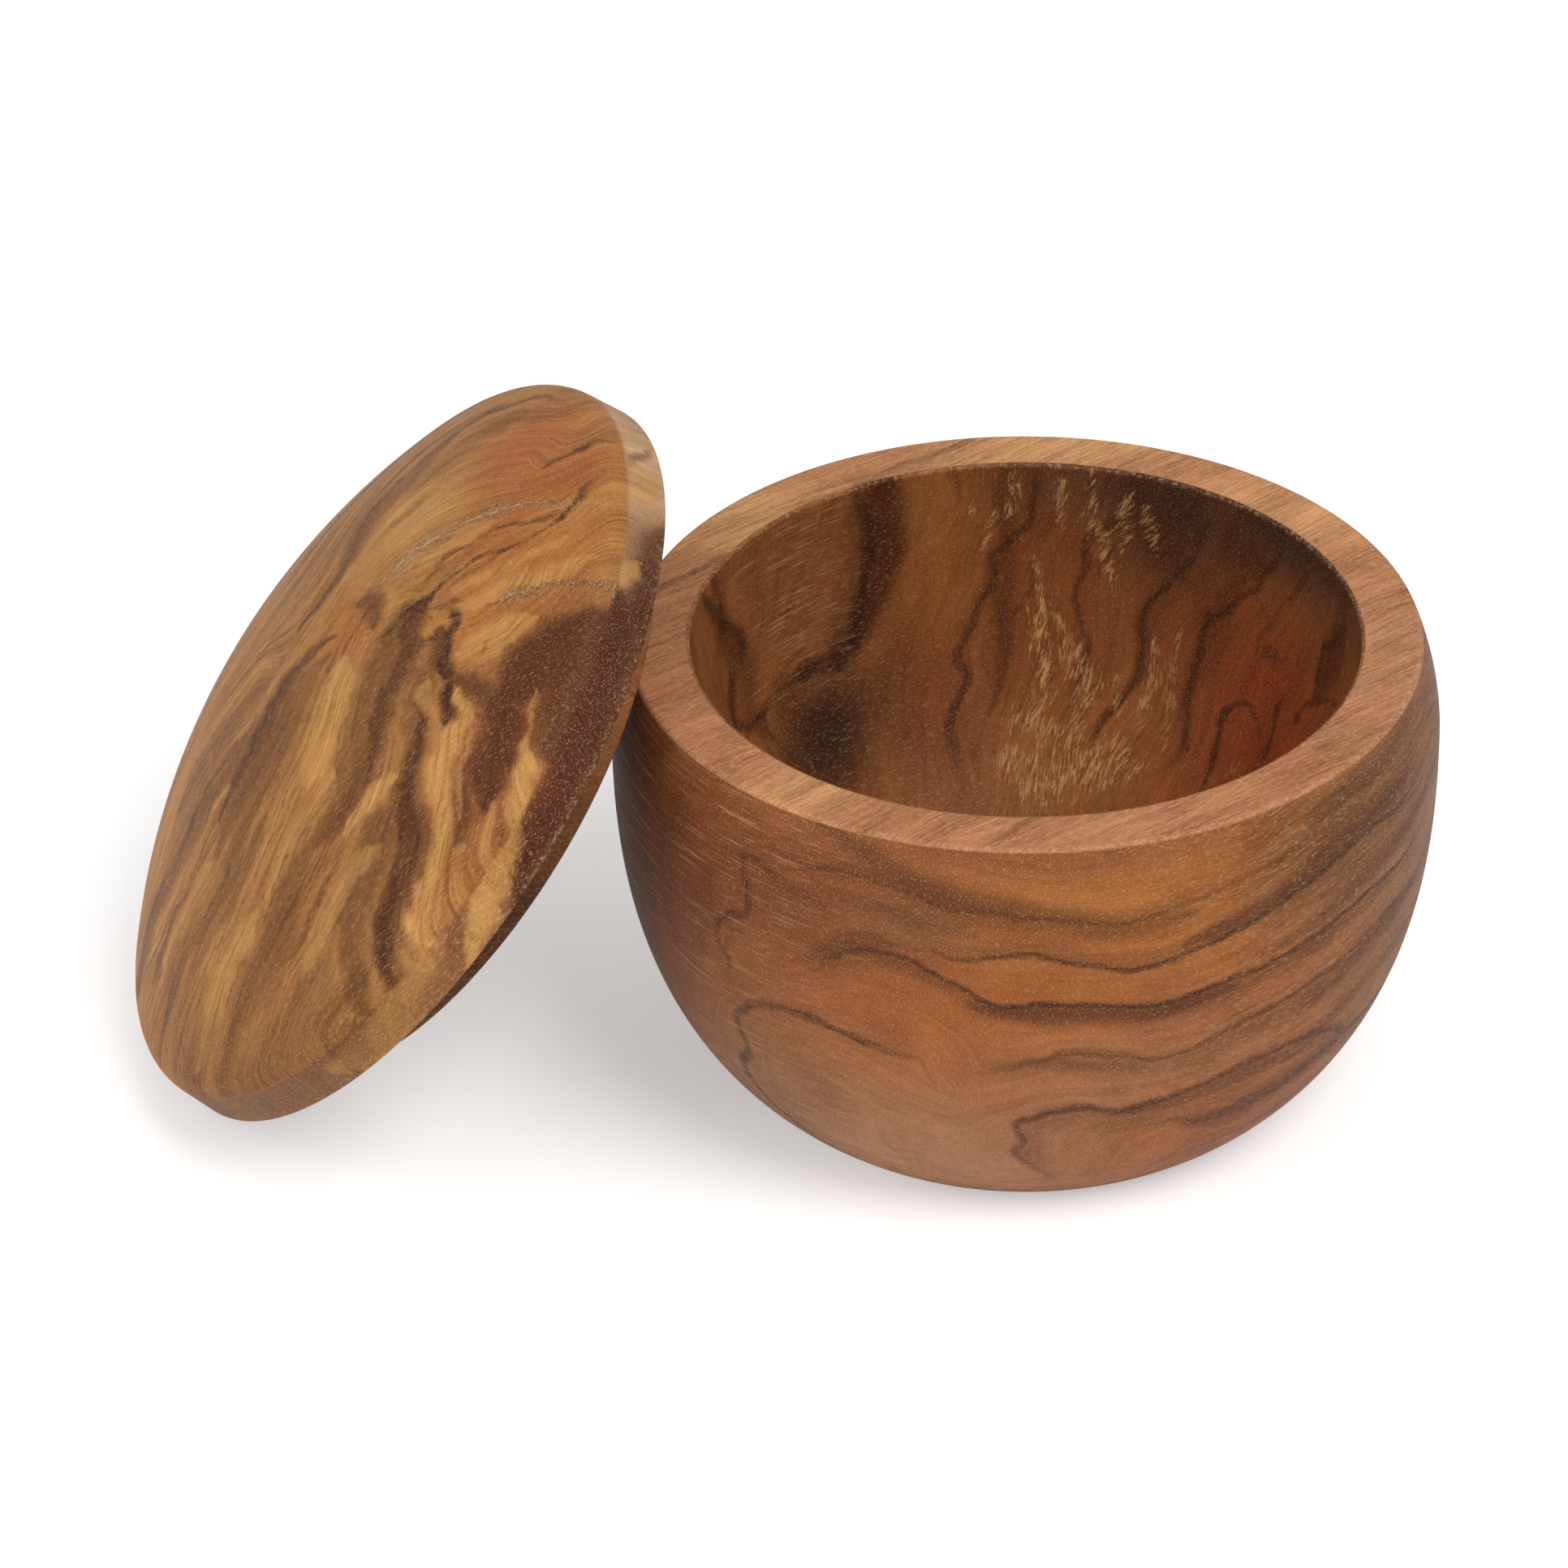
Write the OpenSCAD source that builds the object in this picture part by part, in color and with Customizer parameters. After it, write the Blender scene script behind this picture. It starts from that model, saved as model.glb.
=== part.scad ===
// Turned wooden salt pot, shown open: a round bowl and its loose, domed, dropped-in lid.
// The lid is off the bowl. It stands on its edge on the table and leans on the bowl's rim.
// Millimetres. Origin at the centre of the bowl's foot, on the table; +Z up; the lid is on the -X side.

/* [Bowl] */
// Widest diameter of the bowl, at its belly
belly_d = 100; // [98:0.5:110]
// Diameter of the flat rim at its outer edge
rim_d = 95; // [90:0.5:97]
// Diameter of the mouth
mouth_d = 80.5; // [74:0.5:84]
// Diameter of the flat foot
foot_d = 64; // [50:0.5:76]
// Height of the bowl, from its foot to its rim
bowl_h = 59.5; // [54:0.5:62]
// How far below the rim the belly is widest
belly_drop = 12.5; // [8:0.5:18]
// Thickness of the floor at its centre
floor_t = 8.5; // [5:0.5:12]
// How squarely the outside turns from belly to foot: 2 is an ellipse, more is squarer
outside_squareness = 2.5; // [2.2:0.1:3]
// How squarely the inside turns from wall to floor: 2 is an ellipse, more is squarer
inside_squareness = 2.3; // [2:0.1:2.7]

/* [Lid] */
// Diameter of the lid at the bottom of its edge
lid_d = 99; // [97:0.5:104]
// Height of the lid's edge, from its underside to the start of the dome
edge_h = 7.5; // [5:0.5:10]
// How much the edge leans in from its bottom to its top
edge_draft = 0.5; // [0.2:0.1:1.5]
// Rise of the dome above the edge
dome_rise = 14; // [8:0.5:20]
// Depth of the spigot that drops into the mouth
spigot_h = 6; // [4:0.5:8]
// Clearance between spigot and mouth, each side
spigot_clearance = 0.5; // [0.3:0.1:1.2]

/* [Finish] */
// Size of the small sanded bevel on every sharp edge
edge_break = 0.4; // [0.2:0.1:0.8]

/* [How the lid stands] */
// How far above the lid's own middle the rim meets its face, which sets the lid's slope
lean_up = 32.2; // [24:0.1:34]
// How far the lid's face is turned from the X axis towards the front
lid_turn = 7.3; // [0:0.1:30]
// How far the lid stands back from the middle of the bowl, along its own edge
lid_set_back = 16.7; // [0:0.1:20]
// Gap left where the lid leans on the rim
lean_gap = 0.3; // [0.2:0.1:1]

/* [Hidden] */

bowl_wood = [0.55, 0.32, 0.17];
lid_wood = [0.66, 0.43, 0.22];

// Steps round each piece, and along each of its turned curves
$fn = 96;
side_steps = 20;
shoulder_steps = 6;
dome_steps = 14;

belly_r = belly_d / 2;
rim_r = rim_d / 2;
mouth_r = mouth_d / 2;
foot_r = foot_d / 2;
belly_z = bowl_h - belly_drop;
inside_depth = bowl_h - floor_t;

lid_r = lid_d / 2;
spigot_r = mouth_r - spigot_clearance;
dome_r = lid_r - edge_draft - edge_break;
// Radius of the sphere whose cap is the dome
dome_sphere_r = (pow(dome_r, 2) + pow(dome_rise, 2)) / (2 * dome_rise);
dome_half_angle = asin(dome_r / dome_sphere_r);

// Radius, at this depth, of a curve that starts upright at start_r and would close at closing_depth
function turned_r(start_r, depth, closing_depth, squareness) =
    start_r * pow(1 - pow(depth / closing_depth, squareness), 1 / squareness);

// Depth at which that curve would close, if it has come in to end_r at end_depth
function closing_depth(start_r, end_r, end_depth, squareness) =
    end_depth / pow(1 - pow(end_r / start_r, squareness), 1 / squareness);

// Depths down a turned curve, closer together where it turns in
function side_depths(end_depth) =
    [for (i = [0 : side_steps]) end_depth * sin(90 * i / side_steps)];

// Radius of the shoulder at a drop below the rim: it swells to the belly along a parabola
function shoulder_r(drop) =
    belly_r - (belly_r - rim_r) * pow(1 - drop / belly_drop, 2);

// The outside from the foot up to the belly
function belly_points() =
    let (
        closing = closing_depth(belly_r, foot_r, belly_z, outside_squareness),
        depths = side_depths(belly_z)
    )
    [
        for (i = [side_steps : -1 : 0])
            [turned_r(belly_r, depths[i], closing, outside_squareness), belly_z - depths[i]]
    ];

// The outside from just above the belly up to the rim's outer edge
function shoulder_points() = [
    for (i = [shoulder_steps - 1 : -1 : 0])
        let (drop = edge_break + (belly_drop - edge_break) * i / shoulder_steps)
        [shoulder_r(drop), bowl_h - drop]
];

// The flat top of the rim, with its two bevels
function rim_points() = [
    [shoulder_r(edge_break) - edge_break, bowl_h],
    [mouth_r + edge_break, bowl_h],
    [mouth_r, bowl_h - edge_break]
];

// The inside, from below the rim's bevel down to the middle of the floor
function inside_points() = [
    for (depth = side_depths(inside_depth))
        if (depth > edge_break)
            [turned_r(mouth_r, depth, inside_depth, inside_squareness), bowl_h - depth]
];

module bowl() {
    color(bowl_wood)
        rotate_extrude()
            polygon(concat([[0, 0]], belly_points(), shoulder_points(), rim_points(), inside_points()));
}

// The dome from its foot on the lid's edge up to its top: an arc of a circle
function dome_points() = [
    for (i = [dome_steps : -1 : 0])
        let (angle = dome_half_angle * i / dome_steps)
        [dome_sphere_r * sin(angle), edge_h + dome_rise - dome_sphere_r * (1 - cos(angle))]
];

// The spigot and the edge above it, with their bevels, from the middle of the spigot's face outwards
function spigot_and_edge_points() = [
    [0, -spigot_h],
    [spigot_r - edge_break, -spigot_h],
    [spigot_r, -spigot_h + edge_break],
    [spigot_r, 0],
    [lid_r - edge_break, 0],
    [lid_r, edge_break],
    [dome_r + edge_break, edge_h - edge_break]
];

// The lid as it comes off the lathe: its underside at z = 0, its dome upwards
module lid_as_turned() {
    rotate_extrude()
        polygon(concat(spigot_and_edge_points(), dome_points()));
}

// Where the rim meets the spigot's face, measured from the corner that the lid stands on:
// along the face, and square to it
lean_along = lid_r + lean_up;
lean_across = spigot_h + edge_break;
// Angle between the lid and the table, which brings that place up to the rim's height
lid_tilt = asin(bowl_h / norm([lean_along, lean_across])) + atan(lean_across / lean_along);

// How far a corner of a turned outline, at radius r and height z, reaches square to a face
// that slopes by lid_tilt
function reach(r, z) = r * sin(lid_tilt) + z * cos(lid_tilt);

// The lid stands on the lower corner of its edge. Its underside's middle is this high.
lid_mid_z = max(
    lid_r * sin(lid_tilt) - edge_break * cos(lid_tilt),
    (lid_r - edge_break) * sin(lid_tilt)
);
// The rim corner that the spigot's face leans towards
rim_reach = max(
    reach(shoulder_r(edge_break), bowl_h - edge_break),
    reach(shoulder_r(edge_break) - edge_break, bowl_h)
);
// Distance out from the bowl's axis at which the spigot's face clears that corner by lean_gap
lid_mid_out = (rim_reach + lean_gap + spigot_h - lid_mid_z * cos(lid_tilt)) / sin(lid_tilt);

// The lid where it stands, tipped so that its dome faces out from the bowl
module lid() {
    color(lid_wood)
        rotate([0, 0, lid_turn])
            translate([-lid_mid_out, lid_set_back, lid_mid_z])
                rotate([0, -lid_tilt, 0])
                    lid_as_turned();
}

bowl();
lid();
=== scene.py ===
import math
from collections import namedtuple
from functools import reduce

import bpy
import numpy as np
from mathutils import Matrix, Vector


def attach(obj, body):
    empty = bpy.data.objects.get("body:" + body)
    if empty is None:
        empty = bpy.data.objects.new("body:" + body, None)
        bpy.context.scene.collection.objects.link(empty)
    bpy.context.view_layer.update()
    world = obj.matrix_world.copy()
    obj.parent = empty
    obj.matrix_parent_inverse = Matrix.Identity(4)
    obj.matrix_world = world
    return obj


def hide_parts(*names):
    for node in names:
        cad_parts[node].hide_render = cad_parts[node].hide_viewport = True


# Turned olive-wood salt pot: a round bowl, and its loose domed lid leaning on the rim.
# Lengths are in millimetres until a mesh is made, which is in metres. The frame is the CAD's:
# origin at the centre of the bowl's foot, +Z up, the lid on the -X side.

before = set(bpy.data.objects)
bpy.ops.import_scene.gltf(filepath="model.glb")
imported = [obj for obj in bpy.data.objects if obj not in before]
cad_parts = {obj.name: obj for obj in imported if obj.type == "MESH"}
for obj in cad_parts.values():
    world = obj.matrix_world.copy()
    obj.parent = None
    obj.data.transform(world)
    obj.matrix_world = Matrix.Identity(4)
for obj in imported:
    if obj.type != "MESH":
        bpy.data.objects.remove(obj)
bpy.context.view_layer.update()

MM = 0.001

# Bowl, with the same driving sizes as the CAD source
BELLY_R = 50.0
RIM_R = 47.5
MOUTH_R = 40.25
FOOT_R = 32.0
BOWL_H = 59.5
BELLY_DROP = 12.5
FLOOR_T = 8.5
OUTSIDE_SQUARENESS = 2.5
INSIDE_SQUARENESS = 2.3

# Lid
LID_R = 49.5
EDGE_H = 7.5
EDGE_DRAFT = 0.5
DOME_RISE = 14.0
SPIGOT_H = 6.0
SPIGOT_CLEARANCE = 0.5

# Finish: how far the rounding of each sanded corner reaches along the outline
EDGE_BREAK = 0.4
FOOT_ROUND = 0.6
RIM_ROUND = 0.55
DOME_ROUND = 2.2

# How the lid stands
LEAN_UP = 32.2
LID_TURN = math.radians(7.3)
LID_SET_BACK = 16.7
LEAN_GAP = 0.3

BELLY_Z = BOWL_H - BELLY_DROP
INSIDE_DEPTH = BOWL_H - FLOOR_T
SPIGOT_R = MOUTH_R - SPIGOT_CLEARANCE
DOME_R = LID_R - EDGE_DRAFT - EDGE_BREAK
DOME_SPHERE_R = (DOME_R ** 2 + DOME_RISE ** 2) / (2 * DOME_RISE)

# Steps round each turned piece
BOWL_STEPS = 416
LID_STEPS = 480
# Points of a curve before the outline is spaced evenly
CURVE_POINTS = 400
# Distance from each end of a section to the extra ring that keeps its face flat up to there
SUPPORT = 0.12


# Outlines of the turned pieces, as lists of (radius, height)

def turned_r(start_r, depth, closing, squareness):
    """Radius at a depth of a curve that starts upright at start_r and closes at closing."""
    return start_r * (1 - np.clip(depth / closing, 0, 1) ** squareness) ** (1 / squareness)


def closing_depth(start_r, end_r, end_depth, squareness):
    return end_depth / (1 - (end_r / start_r) ** squareness) ** (1 / squareness)


def outside_r(z):
    """Radius of the bowl's outside at a height."""
    closing = closing_depth(BELLY_R, FOOT_R, BELLY_Z, OUTSIDE_SQUARENESS)
    below = turned_r(BELLY_R, np.maximum(BELLY_Z - z, 0), closing, OUTSIDE_SQUARENESS)
    drop = np.clip(BOWL_H - z, 0, BELLY_DROP)
    above = BELLY_R - (BELLY_R - RIM_R) * (1 - drop / BELLY_DROP) ** 2
    return np.where(z < BELLY_Z, below, above)


def inside_r(z):
    """Radius of the bowl's inside at a height."""
    return turned_r(MOUTH_R, BOWL_H - z, INSIDE_DEPTH, INSIDE_SQUARENESS)


def dome_z(r):
    """Height of the lid's dome at a radius, above its underside."""
    return EDGE_H + DOME_RISE - DOME_SPHERE_R + np.sqrt(DOME_SPHERE_R ** 2 - r ** 2)


def along(points):
    """Distance along a line of points, from its start to each."""
    steps = np.linalg.norm(np.diff(points, axis=0), axis=1)
    return np.concatenate([[0], np.cumsum(steps)])


def respaced(points, step, cut_start=0.0, cut_end=0.0):
    """The same line with even steps, less a length cut off each end."""
    points = np.array(points, float)
    length = along(points)
    count = max(1, round((length[-1] - cut_start - cut_end) / step))
    at = np.linspace(cut_start, length[-1] - cut_end, count + 1)
    return np.stack([np.interp(at, length, column) for column in points.T], axis=1)


def eased_corner(before, corner, after, steps=6):
    """Points of the small rounding that replaces a corner, without its two ends."""
    t = np.linspace(0, 1, steps + 1)[1:-1, None]
    return (1 - t) ** 2 * before + 2 * t * (1 - t) * corner + t ** 2 * after


def outline(sections):
    """Joins sections (zone, points, spacing, rounding of the far corner) into one outline.
    Gives its points and the zone of each."""
    rows, zones, rounding = [], [], 0.0
    for zone, points, step, next_rounding in sections:
        piece = respaced(points, step, rounding + SUPPORT, next_rounding + SUPPORT)
        first, last = respaced(points, math.inf, rounding, next_rounding)
        piece = np.concatenate([[first], piece, [last]])
        if rounding and rows:
            rows.append(eased_corner(rows[-1][-1], np.array(points[0], float), piece[0]))
            zones += [zone] * len(rows[-1])
        elif rows:
            piece = piece[1:]
        rows.append(piece)
        zones += [zone] * len(piece)
        rounding = next_rounding
    return np.concatenate(rows), np.array(zones)


FOOT, OUTSIDE, RIM, INSIDE = range(4)
SPIGOT, FLANGE, EDGE, DOME = range(4)


def bowl_outline():
    side_z = np.linspace(0, BOWL_H, CURVE_POINTS)
    # Closer together towards the floor, where the inside turns
    inside_z = BOWL_H - INSIDE_DEPTH * np.sin(np.linspace(0, math.pi / 2, CURVE_POINTS))
    return outline([
        (FOOT, [(0, 0), (FOOT_R, 0)], 1.6, FOOT_ROUND),
        (OUTSIDE, np.stack([outside_r(side_z), side_z], axis=1), 0.85, RIM_ROUND),
        (RIM, [(RIM_R, BOWL_H), (MOUTH_R, BOWL_H)], 0.8, RIM_ROUND),
        (INSIDE, np.stack([inside_r(inside_z), inside_z], axis=1), 0.95, 0.0),
    ])


def lid_outline():
    edge_top_r = LID_R - EDGE_DRAFT
    dome_r = np.linspace(edge_top_r, 0, CURVE_POINTS)
    return outline([
        (SPIGOT, [(0, -SPIGOT_H), (SPIGOT_R, -SPIGOT_H)], 1.5, EDGE_BREAK),
        (SPIGOT, [(SPIGOT_R, -SPIGOT_H), (SPIGOT_R, 0)], 0.9, 0.0),
        (FLANGE, [(SPIGOT_R, 0), (LID_R, 0)], 0.9, EDGE_BREAK),
        (EDGE, [(LID_R, 0), (edge_top_r, float(dome_z(edge_top_r)))], 0.7, DOME_ROUND),
        (DOME, np.stack([dome_r, dome_z(dome_r)], axis=1), 0.75, 0.0),
    ])


# Where the lid stands, as in the CAD source: on the lower corner of its edge, with the spigot's
# face leaning on the rim's outer corner

def lid_place():
    """(turn and tilt as a 3 x 3 matrix, place of the lid's middle)"""
    lean_along = LID_R + LEAN_UP
    lean_across = SPIGOT_H + EDGE_BREAK
    tilt = math.asin(BOWL_H / math.hypot(lean_along, lean_across))
    tilt += math.atan2(lean_across, lean_along)
    sin_t, cos_t = math.sin(tilt), math.cos(tilt)
    mid_z = max(LID_R * sin_t - EDGE_BREAK * cos_t, (LID_R - EDGE_BREAK) * sin_t)
    corner_r = float(outside_r(np.float64(BOWL_H - EDGE_BREAK)))
    rim_reach = max(
        corner_r * sin_t + (BOWL_H - EDGE_BREAK) * cos_t,
        (corner_r - EDGE_BREAK) * sin_t + BOWL_H * cos_t,
    )
    mid_out = (rim_reach + LEAN_GAP + SPIGOT_H - mid_z * cos_t) / sin_t
    turn = Matrix.Rotation(LID_TURN, 3, "Z")
    rotation = turn @ Matrix.Rotation(-tilt, 3, "Y")
    middle = turn @ Vector((-mid_out, LID_SET_BACK, mid_z))
    return np.array(rotation), np.array(middle)


# Turned meshes

Turned = namedtuple("Turned", "points angle zone faces")


def turned(rows, zones, steps):
    """A closed surface of revolution. Each point has its angle, -180 to 180, and its zone."""
    angles = np.linspace(0, 2 * math.pi, steps, endpoint=False)
    rings = rows[1:-1]
    count = len(rings)
    r = np.repeat(rings[:, 0], steps)
    z = np.repeat(rings[:, 1], steps)
    a = np.tile(angles, count)
    points = np.stack([r * np.cos(a), r * np.sin(a), z], axis=1)
    points = np.concatenate([points, [[0, 0, rows[0, 1]], [0, 0, rows[-1, 1]]]])
    a = np.concatenate([a, [0, 0]])
    zone = np.concatenate([np.repeat(zones[1:-1], steps), [zones[0], zones[-1]]])
    here = np.arange(steps)
    after = (here + 1) % steps
    faces = []
    for ring in range(count - 1):
        low, high = ring * steps, (ring + 1) * steps
        faces += np.stack([low + here, low + after, high + after, high + here], axis=1).tolist()
    first, last = count * steps, count * steps + 1
    top = (count - 1) * steps
    faces += np.stack([np.full(steps, first), after, here], axis=1).tolist()
    faces += np.stack([top + here, top + after, np.full(steps, last)], axis=1).tolist()
    return Turned(points, (np.degrees(a) + 180) % 360 - 180, zone, faces)


def add_to_scene(made):
    bpy.context.scene.collection.objects.link(made)
    return made


def make_piece(name, shape, placed, fields):
    """A mesh object from a turned shape, its points where they stand, and its wood fields."""
    mesh = bpy.data.meshes.new(name)
    mesh.from_pydata((placed * MM).tolist(), [], shape.faces)
    mesh.shade_smooth()
    for field, values in vars(fields).items():
        kind, key = ("FLOAT_COLOR", "color") if field == "tint" else ("FLOAT_VECTOR", "vector")
        attribute = mesh.attributes.new(field, kind, "POINT")
        attribute.data.foreach_set(key, values.astype(np.float32).ravel())
    return add_to_scene(bpy.data.objects.new(name, mesh))


# Length of one degree on the sides of the pot, on which some places are given as angles
MM_PER_DEGREE = math.radians(47)
# Middle of what the photograph shows of the outside and the inside, in degrees round the bowl
OUTSIDE_SEEN = -80
INSIDE_SEEN = 85
# Direction of the fibres in the bowl's blank, seen from above
FIBRE_TURN = math.radians(38)
# How closely the inside's streaks lie, next to those of the other surfaces
INSIDE_STREAKS = 0.7

# Palette, as it looks on the sanded wood in plain light; a few of these colours are also used as painted
# highlight and painted shade

def srgb(red, green, blue):
    """Linear colour from a colour written 0 to 255."""
    c = np.array([red, green, blue], float) / 255
    return np.where(c <= 0.04045, c / 12.92, ((c + 0.055) / 1.055) ** 2.4)


CREAM = srgb(196, 146, 84)
GOLDEN = srgb(178, 122, 62)
HONEY = srgb(168, 104, 50)
DOME_TAN = srgb(170, 118, 66)
BROWN_TAN = srgb(138, 86, 44)
ORANGE = srgb(168, 98, 48)
ORANGE_BROWN = srgb(152, 90, 50)
RED_ORANGE = srgb(160, 88, 48)
RED_BROWN = srgb(116, 56, 26)
RED = srgb(146, 62, 30)
RIM_GOLD = srgb(204, 154, 106)
# Painted highlight colour, used where the top of the lid's edge faces the light
HIGHLIGHT_PINK = srgb(206, 166, 130)
RIM_PINK = srgb(174, 118, 82)
PINK_TAN = srgb(182, 130, 96)
OLIVE_BROWN = srgb(122, 80, 47)
OLIVE_GREY = srgb(122, 88, 61)
INSIDE_BROWN = srgb(140, 84, 43)
EDGE_TAN = srgb(140, 96, 64)
BROWN = srgb(112, 68, 42)
# Dark brown: the wood's dark tone in pores and scratches, and also painted shade on the bowl's left flank
# and the lid's spigot side
DARK_BROWN = srgb(72, 38, 20)
CHOCOLATE = srgb(70, 31, 13)
VEIN_BROWN = srgb(50, 22, 12)
UMBER = srgb(62, 42, 34)
NEAR_BLACK = srgb(42, 24, 18)
PALE_DUST = srgb(222, 184, 140)
TORN_TAN = srgb(204, 156, 98)
CRACK_GREY = srgb(196, 166, 130)
# What the darkest and the lightest streaks do to the colour under them
SHADE = (0.55, 0.43, 0.33, 1.0)
LIGHT = (1.42, 1.45, 1.40, 1.0)

# Growth lines: levels of the figure from one to the next, and their strength where the
# photograph shows nothing
GROWTH_SPACING = 7.0
UNSEEN_GROWTH = 0.7
# A distance from a crack at which nothing of it shows
NO_CRACK = 9.0
# Depth of the fine relief, in mm
RELIEF = 0.15

# What a vein is: its width in mm, how dark it is from 0 to 1, the level of the figure that it
# follows, the points that it passes through, and the side on which it fades out softly: 1 is to
# the left of its direction, -1 to the right, 0 neither. A level of None isn't part of the figure.
Vein = namedtuple("Vein", "width dark level points halo", defaults=(0,))
# A soft patch of colour: its colour, strength from 0 to 1, middle, half sizes and turn in degrees
Patch = namedtuple("Patch", "colour strength at size turn", defaults=(0,))
# A brush stroke with ragged edges: its width in mm, strength from 0 to 1 and points
Stroke = namedtuple("Stroke", "width strength points")

# Outside of the bowl: points are (angle in degrees round the axis, height in mm)
OUTSIDE_VEINS = [
    Vein(1.0, 0.5, 53, [(-134, 52), (-127, 53), (-118, 54), (-108, 53.5), (-100, 52), (-90, 51),
        (-78, 50.5), (-68, 51.5), (-55, 53.5), (-44, 55.5), (-30, 57)], 1),
    Vein(1.3, 0.7, 46, [(-124, 50), (-127, 51.5), (-130, 52.5), (-133, 52), (-132.5, 48), (-132.5, 44.5),
        (-137, 42), (-139, 38.5), (-137, 35), (-139, 31)]),
    Vein(1.0, 0.8, 47, [(-108, 45), (-105.5, 47.3), (-102, 46.2), (-95, 46.4), (-89, 46), (-83, 44.5),
        (-75, 44), (-65, 45), (-55, 48), (-45, 49.5), (-30, 50.5), (-15, 51)], 1),
    Vein(1.1, 0.85, 41, [(-127, 37), (-122, 40), (-118, 43), (-114, 44.5), (-110, 44.7), (-105, 44),
        (-100, 41.5), (-95, 39.3), (-85, 39), (-75, 38.3), (-60, 39.2), (-45, 41), (-30, 42.3),
        (-14, 44)], -1),
    Vein(1.2, 0.6, 36, [(-100, 28), (-97, 29), (-93, 30.5), (-86, 32), (-80, 31), (-75, 30), (-66, 30.5),
        (-54, 33), (-40, 35), (-20, 37)], -1),
    Vein(1.4, 0.85, 31, [(-106, 30.5), (-110, 30), (-115, 31.2), (-121, 32.7), (-128, 32), (-134, 30.3),
        (-137, 27), (-136, 22), (-139, 19), (-138, 14), (-133, 8), (-126, 4)]),
    Vein(1.6, 0.8, 23, [(-85, 6), (-89, 10), (-93, 13.5), (-92, 17), (-93, 20.5), (-90, 22), (-84, 22.7),
        (-78, 21), (-70, 23), (-60, 24.5), (-50, 24.7), (-42, 23.3), (-36, 20.5), (-28, 19.5),
        (-14, 20)], -1),
    Vein(1.0, 0.45, 17, [(-78, 17), (-70, 18), (-60, 16), (-50, 16.5), (-40, 20), (-30, 25)], 1),
    Vein(0.9, 0.35, 12, [(-70, 9), (-58, 10), (-45, 11), (-30, 14), (-15, 16)]),
]
OUTSIDE_GUIDES = [
    (59, [(-150, 58), (-120, 58.5), (-90, 57), (-60, 58), (-30, 60)]),
    (5, [(-80, 1), (-60, 2), (-30, 3)]),
    (62, [(-158, 50), (-156, 35), (-155, 20)]),
]
OUTSIDE_STAINS = [
    Stroke(4.5, 0.5, [(-122, 58.5), (-113, 56.5), (-106, 54.5), (-98, 52.5), (-88, 50.5), (-78, 49.5),
        (-68, 50)]),
    Stroke(2.6, 0.3, [(-128, 50), (-118, 50.5), (-108, 50.5), (-98, 49)]),
    Stroke(4.6, 0.6, [(-70, 45.5), (-60, 47.5), (-50, 50), (-38, 52), (-26, 53.5)]),
    Stroke(3.6, 0.6, [(-99, 39.5), (-92, 38), (-84, 37.3), (-74, 37), (-62, 38)]),
    Stroke(2.6, 0.45, [(-124, 41), (-120, 43), (-114, 46), (-108, 46)]),
    Stroke(2.2, 0.35, [(-98, 30), (-90, 31), (-82, 29.5), (-74, 28.5)]),
    Stroke(5.0, 0.6, [(-68, 17), (-60, 16), (-52, 16.5), (-44, 18.5), (-36, 20)]),
    Stroke(2.6, 0.4, [(-80, 20.5), (-70, 21.5), (-58, 23), (-46, 23)]),
    Stroke(3.0, 0.5, [(-60, 41), (-44, 43.5), (-30, 46), (-12, 48)]),
    Stroke(3.0, 0.5, [(-52, 30), (-38, 33), (-24, 36), (-8, 39)]),
    Stroke(3.0, 0.45, [(-50, 24), (-36, 27), (-22, 29), (-8, 32)]),
    Stroke(3.0, 0.4, [(-50, 56), (-36, 57.5), (-20, 58)]),
    Stroke(2.4, 0.3, [(-140, 47), (-141, 40), (-143, 33)]),
]
OUTSIDE_PATCHES = [
    Patch(GOLDEN, 0.30, (-84, 56), (20, 5)),
    Patch(HONEY, 0.7, (-72, 48), (30, 9)),
    Patch(ORANGE, 0.6, (-104, 36), (26, 9)),
    Patch(PINK_TAN, 0.95, (-114, 12), (36, 13)),
    Patch(PINK_TAN, 0.35, (-76, 28), (26, 8)),
    Patch(RED_BROWN, 0.65, (-127, 50), (27, 10)),
    Patch(BROWN, 0.5, (-92, 60), (40, 4)),
    Patch(OLIVE_BROWN, 0.8, (-40, 52), (22, 12)),
    Patch(OLIVE_GREY, 0.85, (-8, 36), (38, 34)),
    Patch(RED_BROWN, 0.55, (-146, 46), (14, 12)),
    # Painted shade: a dark patch on the left flank, where the leaning lid shades the bowl, over the
    # wood's own darker tone there
    Patch(DARK_BROWN, 0.85, (-170, 36), (20, 32)),
    Patch(OLIVE_GREY, 0.45, (-107, 49.5), (8, 3)),
    Patch(OLIVE_GREY, 0.5, (-135, 14), (14, 14)),
    Patch(ORANGE, 0.5, (-74, 12), (14, 8)),
]

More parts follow.
